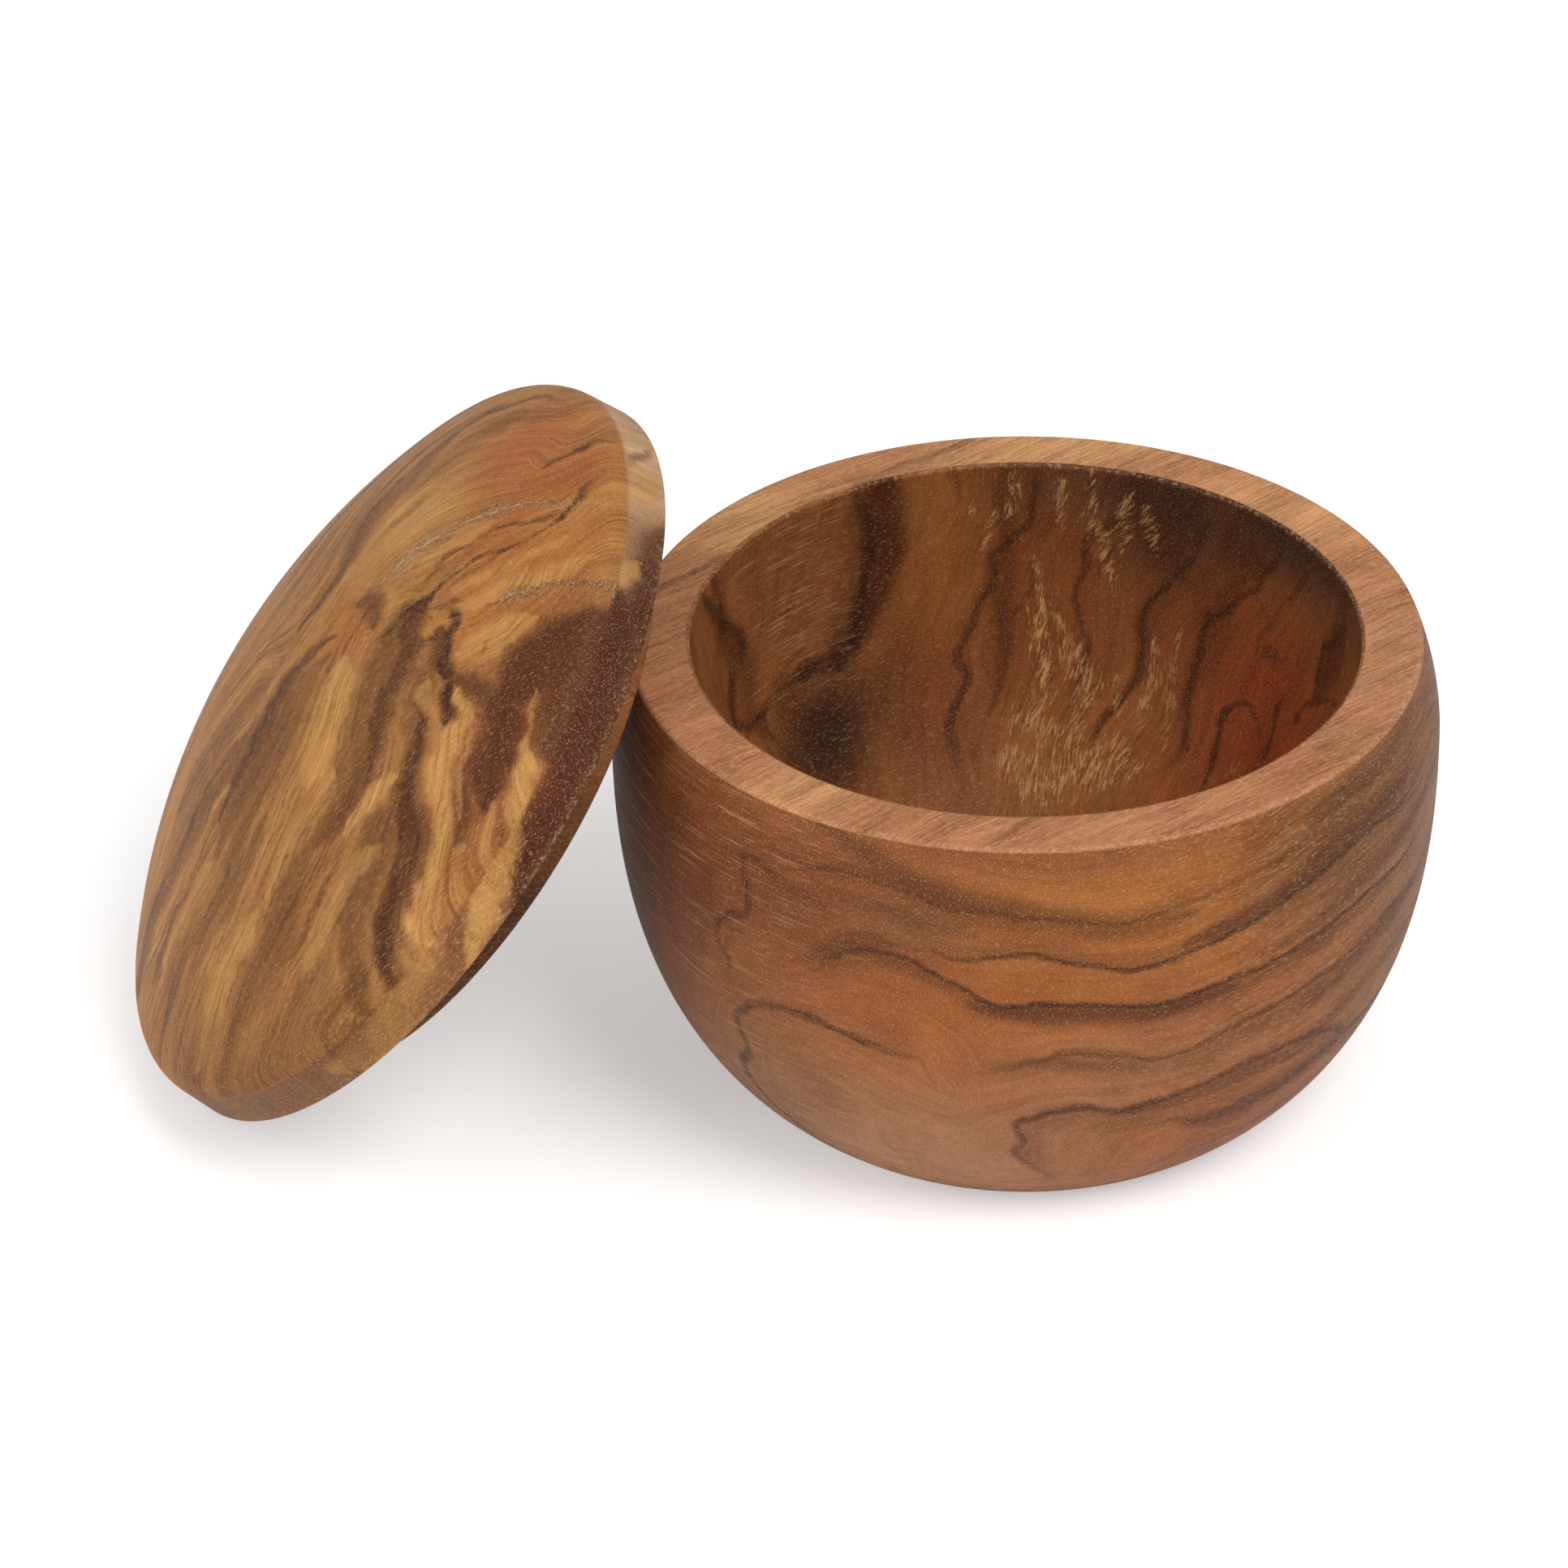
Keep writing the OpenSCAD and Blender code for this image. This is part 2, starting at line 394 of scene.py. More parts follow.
# Rim: points are (x, y) in mm, seen from above
RIM_VEINS = [
    Vein(2.0, 0.45, None, [(-22, 34), (-14, 40), (-7, 45), (-3, 48)]),
    Vein(1.2, 0.4, None, [(3, 40), (9, 45.5), (12, 48)]),
    Vein(1.2, 0.3, None, [(18, 38), (24, 43)]),
    Vein(1.6, 0.5, None, [(-46, 10), (-40, 15), (-35, 20)]),
    Vein(1.2, 0.35, None, [(-6, -47), (-1, -41), (1, -38)]),
    Vein(1.0, 0.25, None, [(-30, -36), (-24, -32)]),
]
RIM_PATCHES = [
    Patch(RIM_GOLD, 0.9, (6, 44), (22, 6), 10),
    Patch(RIM_GOLD, 0.7, (-34, 28), (14, 9), 40),
    Patch(RIM_GOLD, 0.6, (34, 28), (14, 7), -40),
    Patch(RIM_GOLD, 0.6, (-27, -34), (12, 6), 40),
    Patch(PINK_TAN, 0.6, (44, -8), (8, 24)),
]

# Inside of the bowl: points are (angle in degrees, height in mm)
INSIDE_VEINS = [
    Vein(2.6, 0.95, 20, [(118, 62), (118, 58), (117.5, 52.5), (118.5, 48), (120, 44), (122, 40),
        (126, 37.8), (131, 37.5), (137, 36.8), (144, 37)]),
    Vein(2.2, 0.9, 8, [(165, 60), (161, 55.5), (155.5, 51.5), (151, 48.5), (150.5, 46), (153, 44)]),
    Vein(1.4, 0.75, 30, [(86, 61), (87, 56), (87.5, 51.5), (90, 49), (94, 47), (94.5, 43.5), (97.5, 41.5),
        (98.5, 38), (101, 35.5), (101.5, 33.5), (100, 31.5), (104, 28.5), (105.5, 26), (104, 20)]),
    Vein(1.8, 0.85, None, [(153, 45), (155, 43), (157, 41), (157, 38), (152, 36.8), (143, 37)]),
    Vein(0.9, 0.65, None, [(87, 46), (88.5, 40), (93, 38.5), (97, 38.6)]),
    Vein(1.3, 0.8, 44, [(64, 59), (68, 55), (75, 49.5), (77, 46), (77.5, 42), (76, 36), (79, 28)]),
    Vein(0.8, 0.65, None, [(95.5, 36), (95.5, 31), (91.5, 29.5)]),
    Vein(1.3, 0.8, 52, [(52, 56), (58.5, 48), (63.5, 42.5), (65.5, 38), (65, 33), (67, 30), (72, 25),
        (74, 20)]),
    Vein(1.3, 0.8, 62, [(34, 60), (40, 52.5), (45, 46.5), (50, 43), (52.5, 38.5), (52.5, 34), (51, 28),
        (54, 22)]),
    Vein(1.2, 0.9, None, [(42, 22), (42.5, 24.5), (43.5, 28), (44.5, 31), (41.5, 33), (36, 33.5),
        (31.5, 32)]),
    Vein(1.2, 0.85, None, [(28, 38), (30, 36), (29, 33), (31, 30)]),
    Vein(1.2, 0.9, None, [(25, 35), (23.5, 37), (23, 38.5), (18.5, 41.5), (11, 44)]),
    Vein(1.2, 0.85, None, [(21, 42), (21, 45), (19.5, 48.5), (14.5, 51), (11, 49)]),
    Vein(0.8, 0.5, 72, [(28, 57), (32, 52), (36, 47), (40, 42), (41, 37)]),
    Vein(0.9, 0.35, 84, [(14, 60), (17, 52), (18, 46), (20, 38)]),
]
INSIDE_GUIDES = [
    (96, [(0, 55), (-2, 40), (0, 25)]),
    (-4, [(176, 55), (178, 40), (176, 25)]),
]
INSIDE_STAINS = [
    Stroke(7.5, 0.95, [(115, 64), (114.5, 56), (115, 49), (118, 43), (123, 38)]),
    Stroke(7, 0.6, [(119, 60), (118, 52), (121, 44), (127, 38)]),
    Stroke(5, 0.6, [(158, 60), (155, 50), (151, 44), (152, 38), (148, 33)]),
    Stroke(9, 0.6, [(68, 61), (65, 54), (62, 50), (58, 46)]),
    Stroke(9, 0.6, [(66, 61), (56, 56), (48, 54), (40, 53)]),
    Stroke(7, 0.6, [(52, 60), (38, 60.5), (24, 60), (10, 59)]),
    Stroke(6, 0.7, [(12, 54), (17, 48), (20, 42)]),
    Stroke(4, 0.5, [(58, 50), (62, 44), (65, 38), (64, 31)]),
    Stroke(3, 0.5, [(94, 57), (91, 50), (93, 42), (92, 33), (96, 27)]),
    Stroke(4, 0.45, [(44, 52), (48, 45), (51, 38), (53, 30)]),
    Stroke(2.4, 0.7, [(34, 42), (37, 41.5), (39, 40.5)]),
]
TORN_GRAIN = [
    Stroke(3.6, 0.9, [(86, 46), (85, 41), (84.5, 36.5), (83.5, 32), (84, 28), (83, 22)]),
    Stroke(4.0, 0.8, [(81, 39), (79, 36), (75.5, 31), (76, 27.5), (78, 22)]),
    Stroke(9.0, 0.85, [(95, 22), (86, 21), (77, 21.5), (68, 22.5), (59, 24)]),
    Stroke(6.0, 0.8, [(93, 26), (86, 26), (79, 25.5)]),
    Stroke(3.0, 0.7, [(76, 59), (75, 53), (72.5, 47), (71, 43)]),
    Stroke(3.0, 0.7, [(68, 58), (69, 53), (70, 49)]),
    Stroke(3.0, 0.65, [(83, 60), (82, 55), (80.5, 50)]),
    Stroke(2.6, 0.65, [(90, 60), (91, 55), (95, 50), (96, 47)]),
    Stroke(2.0, 0.5, [(99, 55), (97, 53)]),
    Stroke(2.6, 0.55, [(66, 56), (65, 52), (64, 48)]),
    Stroke(3.4, 0.75, [(63, 38), (61.5, 34), (61, 30), (63, 26)]),
    Stroke(2.4, 0.6, [(57, 40), (57.5, 35), (56, 30), (55, 26)]),
    Stroke(2.4, 0.55, [(71, 34), (69, 30), (68, 26)]),
    Stroke(1.6, 0.6, [(37, 29), (38, 26), (35, 29)]),
]
INSIDE_PATCHES = [
    Patch(BROWN, 0.45, (136, 49), (13, 13)),
    Patch(HONEY, 0.5, (102, 48), (8, 15)),
    Patch(HONEY, 0.7, (80, 25), (18, 8)),
    Patch(ORANGE_BROWN, 0.6, (62, 34), (10, 9)),
    Patch(RED_BROWN, 0.75, (108, 29), (10, 11)),
    Patch(ORANGE, 0.55, (46, 23), (26, 5)),
    Patch(HONEY, 0.5, (166, 48), (8, 12)),
    Patch(NEAR_BLACK, 0.9, (134, 30), (17, 7.5), -8),
    Patch(RED_BROWN, 0.6, (82, 42), (16, 20)),
    Patch(RED, 0.9, (32, 34), (22, 16)),
    Patch(RED_BROWN, 0.6, (54, 46), (14, 12)),
    Patch(UMBER, 0.9, (36, 59), (42, 7.5)),
    Patch(UMBER, 0.85, (62, 54), (11, 9)),
    Patch(UMBER, 0.4, (80, 57), (14, 6)),
    Patch(BROWN, 0.5, (168, 40), (12, 24)),
]

# Dome of the lid: points are (x, y) in mm in the lid's own axes, where +x is up its slope and
# +y to the back
DOME_VEINS = [
    Vein(0.9, 0.5, 0, [(-47, 3.2), (-40, 0.5), (-34, -1.2), (-27, -2.8), (-20, -3.5), (-12, -3)]),
    Vein(0.6, 0.55, -7, [(-41, -4.5), (-37, -7.5), (-31, -9.3), (-22, -10), (-12, -9.5)]),
    Vein(0.6, 0.4, 5, [(-24, 7), (-18, 6), (-10, 4.8), (-3, 4.6)]),
    Vein(0.8, 0.5, -2, [(-10, -8.5), (-4, -6), (2, -3.4), (7, -2.8), (12, 0)]),
    Vein(0.7, 0.45, -15, [(-45, -15), (-37, -16), (-28, -16.7), (-20, -18), (-10, -17)]),
    Vein(0.6, 0.6, -24, [(-34, -24.8), (-22, -24.5), (-14, -24), (-8, -22.5), (-3, -20), (2, -18)]),
    Vein(0.6, 0.55, -30, [(-34, -31), (-22, -30.2), (-14, -29.5), (-6, -28), (2, -25), (8, -21),
        (12, -16)]),
    Vein(0.7, 0.4, -38, [(-28, -39), (-15, -37), (-5, -35.5), (3, -33), (10, -29.5), (15, -25),
        (18, -20)]),
    Vein(1.0, 0.45, 8, [(3, 0.5), (8, 4.5), (12, 7.5), (15, 11), (18, 16), (22, 21), (27, 24), (33, 25),
        (39, 22), (44, 17)]),
    Vein(0.9, 0.6, -24, [(8, -12), (12, -9), (15, -5), (18, -2.5), (24, -1.5)]),
    Vein(1.6, 0.95, None, [(28, -16.5), (25, -18), (22.8, -20.3), (21.8, -22.5), (22.5, -25)]),
    Vein(0.6, 0.8, None, [(23, -11.5), (24.5, -14), (27, -15.8), (29, -16.2)]),
    Vein(0.6, 0.7, None, [(20, -13), (20.6, -16), (22.5, -18), (22.3, -20.5)]),
    Vein(2.4, 0.8, None, [(21.4, -22.6), (23, -23.4), (22.6, -25.2)]),
    Vein(0.5, 0.6, None, [(26, -25.5), (30, -24.2), (34, -24.6), (38, -23.8)]),
    Vein(0.5, 0.6, None, [(24, -27), (28, -26.4), (33, -27.2)]),
    Vein(1.0, 0.9, -30, [(16, -12.5), (20, -11.2), (25, -11.3), (31, -10.6), (36, -10.8), (40, -10.4),
        (44, -9.2), (48, -7)]),
    Vein(0.9, 0.75, -27, [(24, -9.5), (28, -7), (33, -6.5), (38, -8), (42, -10.2)]),
    Vein(0.7, 0.6, None, [(17, -3.5), (16.5, -7), (14.5, -10)]),
    Vein(0.8, 0.6, None, [(22, -12), (23.5, -14.5), (22, -17)]),
    Vein(1.2, 0.8, None, [(21.5, -25.5), (21, -28), (19, -31)]),
    Vein(0.9, 0.7, 2, [(41, 1.2), (44, 0.4), (48.5, 0.8)]),
    Vein(0.7, 0.6, None, [(26, -20), (29, -19.3), (33, -20), (36, -21.5)]),
    Vein(0.7, 0.5, -46, [(-4, -48.5), (2, -45), (8, -40), (13, -35), (17, -30)]),
    Vein(0.6, 0.5, None, [(24, -7), (26, -4.5), (30, -4.2)]),
    Vein(0.5, 0.5, -11, [(-12, -13.2), (-6, -12.4), (0, -11)]),
    Vein(0.5, 0.5, None, [(-6, -20.8), (-3, -20), (-0.5, -19.4)]),
    Vein(1.6, 0.4, None, [(9, 0.5), (15, -1.5), (19, -1.8), (22.5, -2.5), (25, -2), (28.5, -2.2),
        (33, -2.6), (36, -4), (39, -6), (41, -8.5), (43.5, -11)]),
    Vein(0.8, 0.6, None, [(24, -14), (27, -15.2), (29, -16.4)]),
    Vein(1.4, 0.5, None, [(32, -19.5), (38, -21), (43, -23.5)]),
    Vein(0.6, 0.5, None, [(3, 0), (5.5, 2.8), (9, 5.2), (12, 9)]),
    Vein(0.6, 0.5, None, [(12, -3), (11, -7), (9, -11)]),
]
DOME_GUIDES = [
    (16, [(-40, 12), (-20, 14), (0, 18), (12, 27), (24, 35), (36, 32)]),
    (28, [(-30, 30), (-10, 34), (8, 43)]),
    (0, [(16, 4), (24, 8), (32, 8), (40, 4)]),
    (-36, [(26, -22.5), (31, -23.5), (37, -21)]),
    (-50, [(6, -46.5), (12, -41.5), (17, -36.5), (21, -31), (26, -27), (33, -26), (42, -22)]),
    (-57, [(15, -46.5), (22, -42), (27, -37), (31, -33), (39, -30)]),
    (-63, [(25, -42), (31, -38), (37, -32.5)]),
]
DOME_STAINS = [
    Stroke(4.0, 0.55, [(6, 3), (9, 5), (12, 8), (15.5, 12), (19, 16), (23, 20), (27, 24), (31.5, 25.5),
        (36, 24.5), (42, 20)]),
    Stroke(7.0, 0.6, [(12, 8.5), (16, 12), (19, 15.5), (22, 18.5), (25, 22)]),
    Stroke(6.0, 0.3, [(24, 14.5), (29, 17), (34, 18), (40, 17)]),
    Stroke(4.4, 0.5, [(-49, 2), (-42, -0.5), (-34, -2.6), (-26, -4), (-18, -4.5), (-9, -3.5)]),
    Stroke(4.5, 0.4, [(-24, 5), (-14, 3.5), (-6, 2.2), (2, 1)]),
    Stroke(4.6, 0.75, [(-14, -10), (-7, -7.4), (0, -5), (5, -3.8), (10, -4.4)]),
    Stroke(7.0, 0.5, [(-16, -14), (-7, -12), (0, -9.5), (9, -7.5)]),
    Stroke(4.0, 0.45, [(-42, -16), (-32, -17), (-20, -18.4), (-10, -17.6), (-4, -16)]),
    Stroke(3.0, 0.4, [(-30, -22), (-18, -21.6), (-8, -20.4)]),
    Stroke(7.5, 0.85, [(24, -11.5), (19, -13), (17, -17), (14.5, -21), (12, -25), (7, -29)]),
    Stroke(3.4, 0.9, [(25, -12), (19.5, -12.8), (18, -16), (17.5, -20)]),
    Stroke(5.0, 0.45, [(12, -19), (8, -23), (3, -26), (-4, -29)]),
    Stroke(6.0, 0.9, [(17.5, -26), (15, -31), (12, -35), (9, -38), (6, -41), (3, -44), (-1, -47),
        (-6, -49)]),
    Stroke(3.0, 0.6, [(11, -27), (7.5, -29.5), (3, -29)]),
    Stroke(6.0, 0.9, [(27, -30), (25, -34.5), (23, -38), (19, -42.5)]),
    Stroke(4.0, 0.75, [(23, -25), (24, -28.5), (26, -32)]),
    Stroke(2.5, 0.7, [(19, -40), (16.5, -42), (13, -44)]),
    Stroke(5.0, 0.4, [(-38, -33.5), (-24, -34), (-12, -32.5), (1, -29)]),
    Stroke(5.0, 0.4, [(-28, -41.5), (-14, -41.5), (-3, -39)]),
    Stroke(2.6, 0.9, [(21.5, -23.5), (22.3, -25), (21, -28), (19, -31)]),
    Stroke(6.0, 0.85, [(24, -31.5), (30, -31), (36, -30), (44, -27)]),
    Stroke(3.4, 0.8, [(24, -17), (22, -20), (22, -24)]),
    Stroke(5.0, 0.65, [(11, -34), (6, -35), (1, -38.5), (-5, -43.5), (-11, -47)]),
    Stroke(8.0, 0.85, [(24, -32), (30, -31), (36, -30.5), (42, -27)]),
    Stroke(8.0, 0.85, [(27, -43), (31, -38), (35, -34), (41, -29)]),
    Stroke(1.2, 0.6, [(40, -10.4), (44, -9.4), (49, -7)]),
    Stroke(1.2, 0.6, [(41, 1.2), (45, 0.2), (49, 0.8)]),
    Stroke(3.0, 0.6, [(14, -1), (16.5, -4), (15.5, -9)]),
    Stroke(8.0, 0.6, [(22, -10), (16, -16), (12, -22), (6, -27), (-2, -31)]),
    Stroke(3.0, 0.6, [(18, -19), (19.5, -23), (17, -27), (13, -31)]),
    Stroke(2.2, 0.6, [(22, -31), (23, -35), (19, -39), (14, -42)]),
    Stroke(5.0, 0.4, [(-8, -44), (-20, -43), (-32, -36)]),
    Stroke(2.0, 0.5, [(-30, -19), (-20, -19.6), (-12, -19.4)]),
    Stroke(1.6, 0.55, [(-40, -9), (-34, -10.6), (-26, -11.4)]),
    Stroke(2.4, 0.5, [(-20, -7), (-12, -6), (-4, -2.4)]),
    Stroke(2.2, 0.35, [(-2, 8), (6, 11), (12, 16), (17, 22)]),
]
DOME_FLAMES = [
    Stroke(4.2, 0.8, [(-38, -26.6), (-29, -28), (-21, -28), (-14, -27.3)]),
    Stroke(2.4, 0.5, [(-39, -5.5), (-30, -7.4), (-20, -8.3), (-12, -7.8)]),
    Stroke(3.4, 0.5, [(-37, -12), (-28, -13.4), (-18, -13.6)]),
    Stroke(6.0, 0.9, [(-1, -21.5), (4, -19.5), (8, -16), (11, -11)]),
    Stroke(5.0, 0.6, [(-12, -28.5), (-4, -26.5), (4, -23)]),
    Stroke(3.6, 0.85, [(22.5, -27), (19.5, -32.5), (17, -36.5), (14, -39.5), (11, -42), (8, -44.5),
        (4, -47.5), (0, -51)]),
    Stroke(2.4, 0.5, [(19.5, -23), (18.5, -26), (18, -30)]),
    Stroke(1.2, 0.5, [(30, -32), (27.5, -36.5), (25, -40)]),
    Stroke(2.4, 0.85, [(26.5, -38), (24.5, -41), (21, -44.5), (18, -48)]),
    Stroke(1.2, 0.5, [(21.5, -33.5), (20.5, -36), (18, -39.5), (15.5, -42)]),
    Stroke(1.6, 0.55, [(19.5, -43), (17, -45), (14, -46.8)]),
    Stroke(3.4, 0.6, [(25, -24), (30, -25.3), (36, -25.5)]),
    Stroke(5.0, 0.7, [(24.5, -22), (29, -23.5), (34, -24)]),
    Stroke(3.0, 0.8, [(12, -31.5), (6.5, -31.5), (1, -32.3)]),
    Stroke(3.4, 0.45, [(-14, -39.8), (-3, -38), (4, -36)]),
    Stroke(3.5, 0.5, [(27, -17), (34, -18.5), (43, -19.5)]),
    Stroke(2.0, 0.45, [(18, -3.5), (19.5, -7), (16, -11)]),
    Stroke(3.0, 0.5, [(28, -14), (34, -15), (41, -14)]),
    Stroke(3.0, 0.5, [(24, -5), (29, -5.2), (34, -4.4)]),
]
DOME_PATCHES = [
    Patch(DOME_TAN, 0.5, (-15, 22), (30, 14)),
    Patch(GOLDEN, 0.8, (-36, -18), (16, 24)),
    Patch(GOLDEN, 0.5, (-20, 12), (24, 8)),
    Patch(CREAM, 0.7, (26, 8), (11, 6), 10),
    Patch(GOLDEN, 0.5, (10, -1), (8, 4), 20),
    Patch(GOLDEN, 0.5, (5, -18), (9, 5), 20),
    Patch(RED_ORANGE, 0.85, (39, 8), (7, 10)),
    Patch(RED_ORANGE, 0.6, (44, -3), (7, 4)),
    Patch(ORANGE, 0.75, (36, -6), (9, 4)),
    Patch(HONEY, 0.9, (35, -15), (11, 5)),
    Patch(HONEY, 0.7, (29, -23), (8, 4)),
    Patch(ORANGE, 0.6, (13, -6), (6, 6)),
    Patch(BROWN_TAN, 0.6, (-5, -12), (12, 5), 8),
    Patch(BROWN_TAN, 0.6, (-14, -34), (20, 8), 5),
    Patch(BROWN_TAN, 0.5, (-14, 1), (14, 4)),
    Patch(RED_BROWN, 0.8, (32, -34), (15, 8), 40),
    Patch(BROWN_TAN, 0.6, (17, -41), (9, 5), 40),
    Patch(ORANGE_BROWN, 0.7, (20, -39), (10, 5), 40),
    Patch(CREAM, 0.6, (7.5, -17), (5, 6)),
    Patch(BROWN, 0.5, (-39, -26), (9, 13)),
]

# Cracks in the dome, a hair wide and filled with pale dust, in the same axes
DOME_CRACKS = [
    Vein(0.9, 0.9, None, [(15, -1.5), (19, -1.8), (22.5, -2.5), (25, -2), (28.5, -2.2), (33, -2.6),
        (36, -4), (39, -6), (41, -8.5), (43.5, -11)]),
    Vein(0.4, 0.7, None, [(18, -10), (26, -10.6), (30, -10.2)]),
    Vein(0.7, 0.8, None, [(32, -19.5), (38, -21), (43, -23.5)]),
    Vein(0.5, 0.7, None, [(41, -8.5), (44, -9.8), (47, -12)]),
]

# Edge of the lid: points are (angle in degrees, height in mm) in the lid's own axes
EDGE_PATCHES = [
    # Painted highlight: pale pink where the top of the edge faces up to the light
    Patch(HIGHLIGHT_PINK, 0.9, (0, 4), (22, 8)),
    # Painted shade: red-brown and chocolate where the edge faces down, away from the light, over the
    # wood's own dark stain there
    Patch(RED_BROWN, 0.9, (-56, 4), (26, 9)),
    Patch(CHOCOLATE, 0.75, (-40, 3), (20, 7)),
    # Painted highlight: a small pale pink patch on the upper edge
    Patch(HIGHLIGHT_PINK, 0.4, (-26, 5), (4, 3)),
    Patch(BROWN_TAN, 0.6, (-100, 4), (16, 8)),
    Patch(OLIVE_GREY, 0.6, (-130, 4), (20, 8)),
]
EDGE_STAINS = [
    Stroke(6.0, 0.85, [(-36, 0), (-28, 1.5), (-21, 1), (-13, -1)]),
    Stroke(1.2, 0.7, [(-8, 8), (-4, 5), (0, 3), (5, 0)]),
    Stroke(7.0, 0.85, [(-62, 3), (-50, 3), (-38, 4), (-28, 6)]),
    Stroke(5.0, 0.85, [(-76, 0), (-70, 1.5), (-62, 2.5), (-54, 3)]),
    Stroke(3.0, 0.5, [(-96, 7), (-104, 4), (-112, 1)]),
]
EDGE_FLAMES = [
    Stroke(5.0, 0.9, [(-60, 9), (-66, 7), (-72, 5.5), (-77, 4), (-81, 2.5), (-86, 0)]),
    Stroke(6.0, 0.45, [(-84, 7), (-94, 4), (-104, 2), (-114, 3)]),
    Stroke(3.0, 0.7, [(-30, 7), (-26, 5), (-23, 3)]),
    Stroke(5.0, 0.6, [(-14, 6), (-8, 4), (-2, 6)]),
]

# Underside of the lid: points are (x, y) in mm in the lid's own axes. Its dark patch is painted shade on
# the spigot side, which faces down, away from the light.
UNDERSIDE_SHADE_PATCHES = [
    Patch(DARK_BROWN, 0.9, (8, -42), (34, 14)),
]


# Fields of the wood on a surface

# Distance between the points of a drawn line, in mm
DRAWN_STEP = 0.5
# How far a vein's field reaches and over how much of that it fades out, in half widths
VEIN_REACH = 7.0
VEIN_FADE = 1.5
# Share of a vein's length over which each end tapers off
VEIN_TAPER = 0.14
# Veins that are neighbours in a list go to different layers, so that they don't cut each other
LAYERS = 3
# How far a stroke's soft edge reaches, in half widths
STROKE_REACH = 2.0
# How a stroke narrows towards its ends: 0 is blunt, 1 is a long point
STROKE_POINT = 0.45
# How far the figure may miss the levels of its veins, to stay smooth
FIGURE_SOFTNESS = 0.6
# How sharply a patch of colour ends: 1 is a plain bell
PATCH_EDGE = 1.3


def spline(points, per_span=10):
    """A smooth curve through given points (Catmull-Rom)."""
    p = np.array(points, float)
    p = np.concatenate([[2 * p[0] - p[1]], p, [2 * p[-1] - p[-2]]])
    t = np.linspace(0, 1, per_span, endpoint=False)[:, None]
    spans = [
        0.5 * (2 * b + (c - a) * t + (2 * a - 5 * b + 4 * c - d) * t ** 2
               + (3 * b - a - 3 * c + d) * t ** 3)
        for a, b, c, d in zip(p[:-3], p[1:-2], p[2:-1], p[3:])
    ]
    return np.concatenate(spans + [p[-2:-1]])


def beside(points, mark, place, reach):
    """The line of a vein or stroke where it is placed, and the points within reach of it, in
    half widths: their rows, the nearest place on the line as an index, and the gap to it."""
    line = place(respaced(spline(mark.points), DRAWN_STEP))
    margin = reach * mark.width / 2
    near = np.all((points > line.min(0) - margin) & (points < line.max(0) + margin), axis=1)
    rows = np.flatnonzero(near)
    gap = points[rows, None, :] - line[None, :, :]
    found = (gap ** 2).sum(2).argmin(1)
    return line, rows, found, gap[np.arange(len(rows)), found]


def vein_fields(points, veins, place, up):
    """Signed distance from the nearest vein of each layer, in half widths, and its darkness."""
    side = np.full((len(points), LAYERS), VEIN_REACH)
    dark = np.zeros((len(points), LAYERS))
    nearest = np.full((len(points), LAYERS), np.inf)
    for index, vein in enumerate(veins):
        layer = index % LAYERS
        half = vein.width / 2
        line, rows, found, gap = beside(points, vein, place, VEIN_REACH)
        distance = np.linalg.norm(gap, axis=1) / half
        across = np.cross(up(line), np.gradient(line, axis=0))
        across /= np.linalg.norm(across, axis=1)[:, None]
        signed = (gap * across[found]).sum(1) / half * (vein.halo or 1)
        progress = found / (len(line) - 1)
        taper = np.clip(np.minimum(progress, 1 - progress) / VEIN_TAPER, 0, 1)
        fade = np.clip((VEIN_REACH - distance) / VEIN_FADE, 0, 1)
        closer = distance < nearest[rows, layer]
        shown = rows[closer]
        nearest[shown, layer] = distance[closer]
        side[shown, layer] = signed[closer] if vein.halo else -distance[closer]
        dark[shown, layer] = vein.dark * (taper * fade)[closer]
    return side, dark


# How the drawn lines are shaken: direction of each wave in degrees, its length and size in mm
SHAKES = ((20, 21.0, 0.7), (75, 13.0, 0.45), (130, 7.3, 0.32), (45, 4.3, 0.22), (160, 2.6, 0.14))


def shaken(flat, amount=1.0, unit=1.0):
    """Points in two coordinates moved a little this way and that, so that what is drawn there
    has an uneven outline. unit is the length in mm of one of the first coordinate."""
    x, y = flat[:, 0] * unit, flat[:, 1]
    moved_x, moved_y = x.copy(), y.copy()
    for turn, length, size in SHAKES:
        turn = math.radians(turn)
        phase = (x * math.cos(turn) + y * math.sin(turn)) * 2 * math.pi / length
        moved_x += amount * size * np.sin(phase + 3 * turn)
        moved_y += amount * size * np.cos(1.1 * phase + 5 * turn)
    return np.stack([moved_x / unit, moved_y], axis=1)


def stroke_field(points, strokes, place):
    """How far each point is covered by brush strokes, 0 to 1, and how strong these are."""
    cover = np.zeros(len(points))
    strength = np.zeros(len(points))
    for stroke in strokes:
        line, rows, found, gap = beside(points, stroke, place, STROKE_REACH)
        progress = np.clip(found / (len(line) - 1), 0.02, 0.98)
        pointed = np.clip(np.sin(math.pi * progress), 0, 1) ** STROKE_POINT
        distance = np.linalg.norm(gap, axis=1) / (stroke.width / 2 * pointed)
        fade = np.clip((STROKE_REACH - distance) / STROKE_REACH, 0, 1)
        value = fade ** 2 * (3 - 2 * fade)
        more = value > cover[rows]
        cover[rows[more]] = value[more]
        strength[rows[more]] = stroke.strength
    return cover, strength


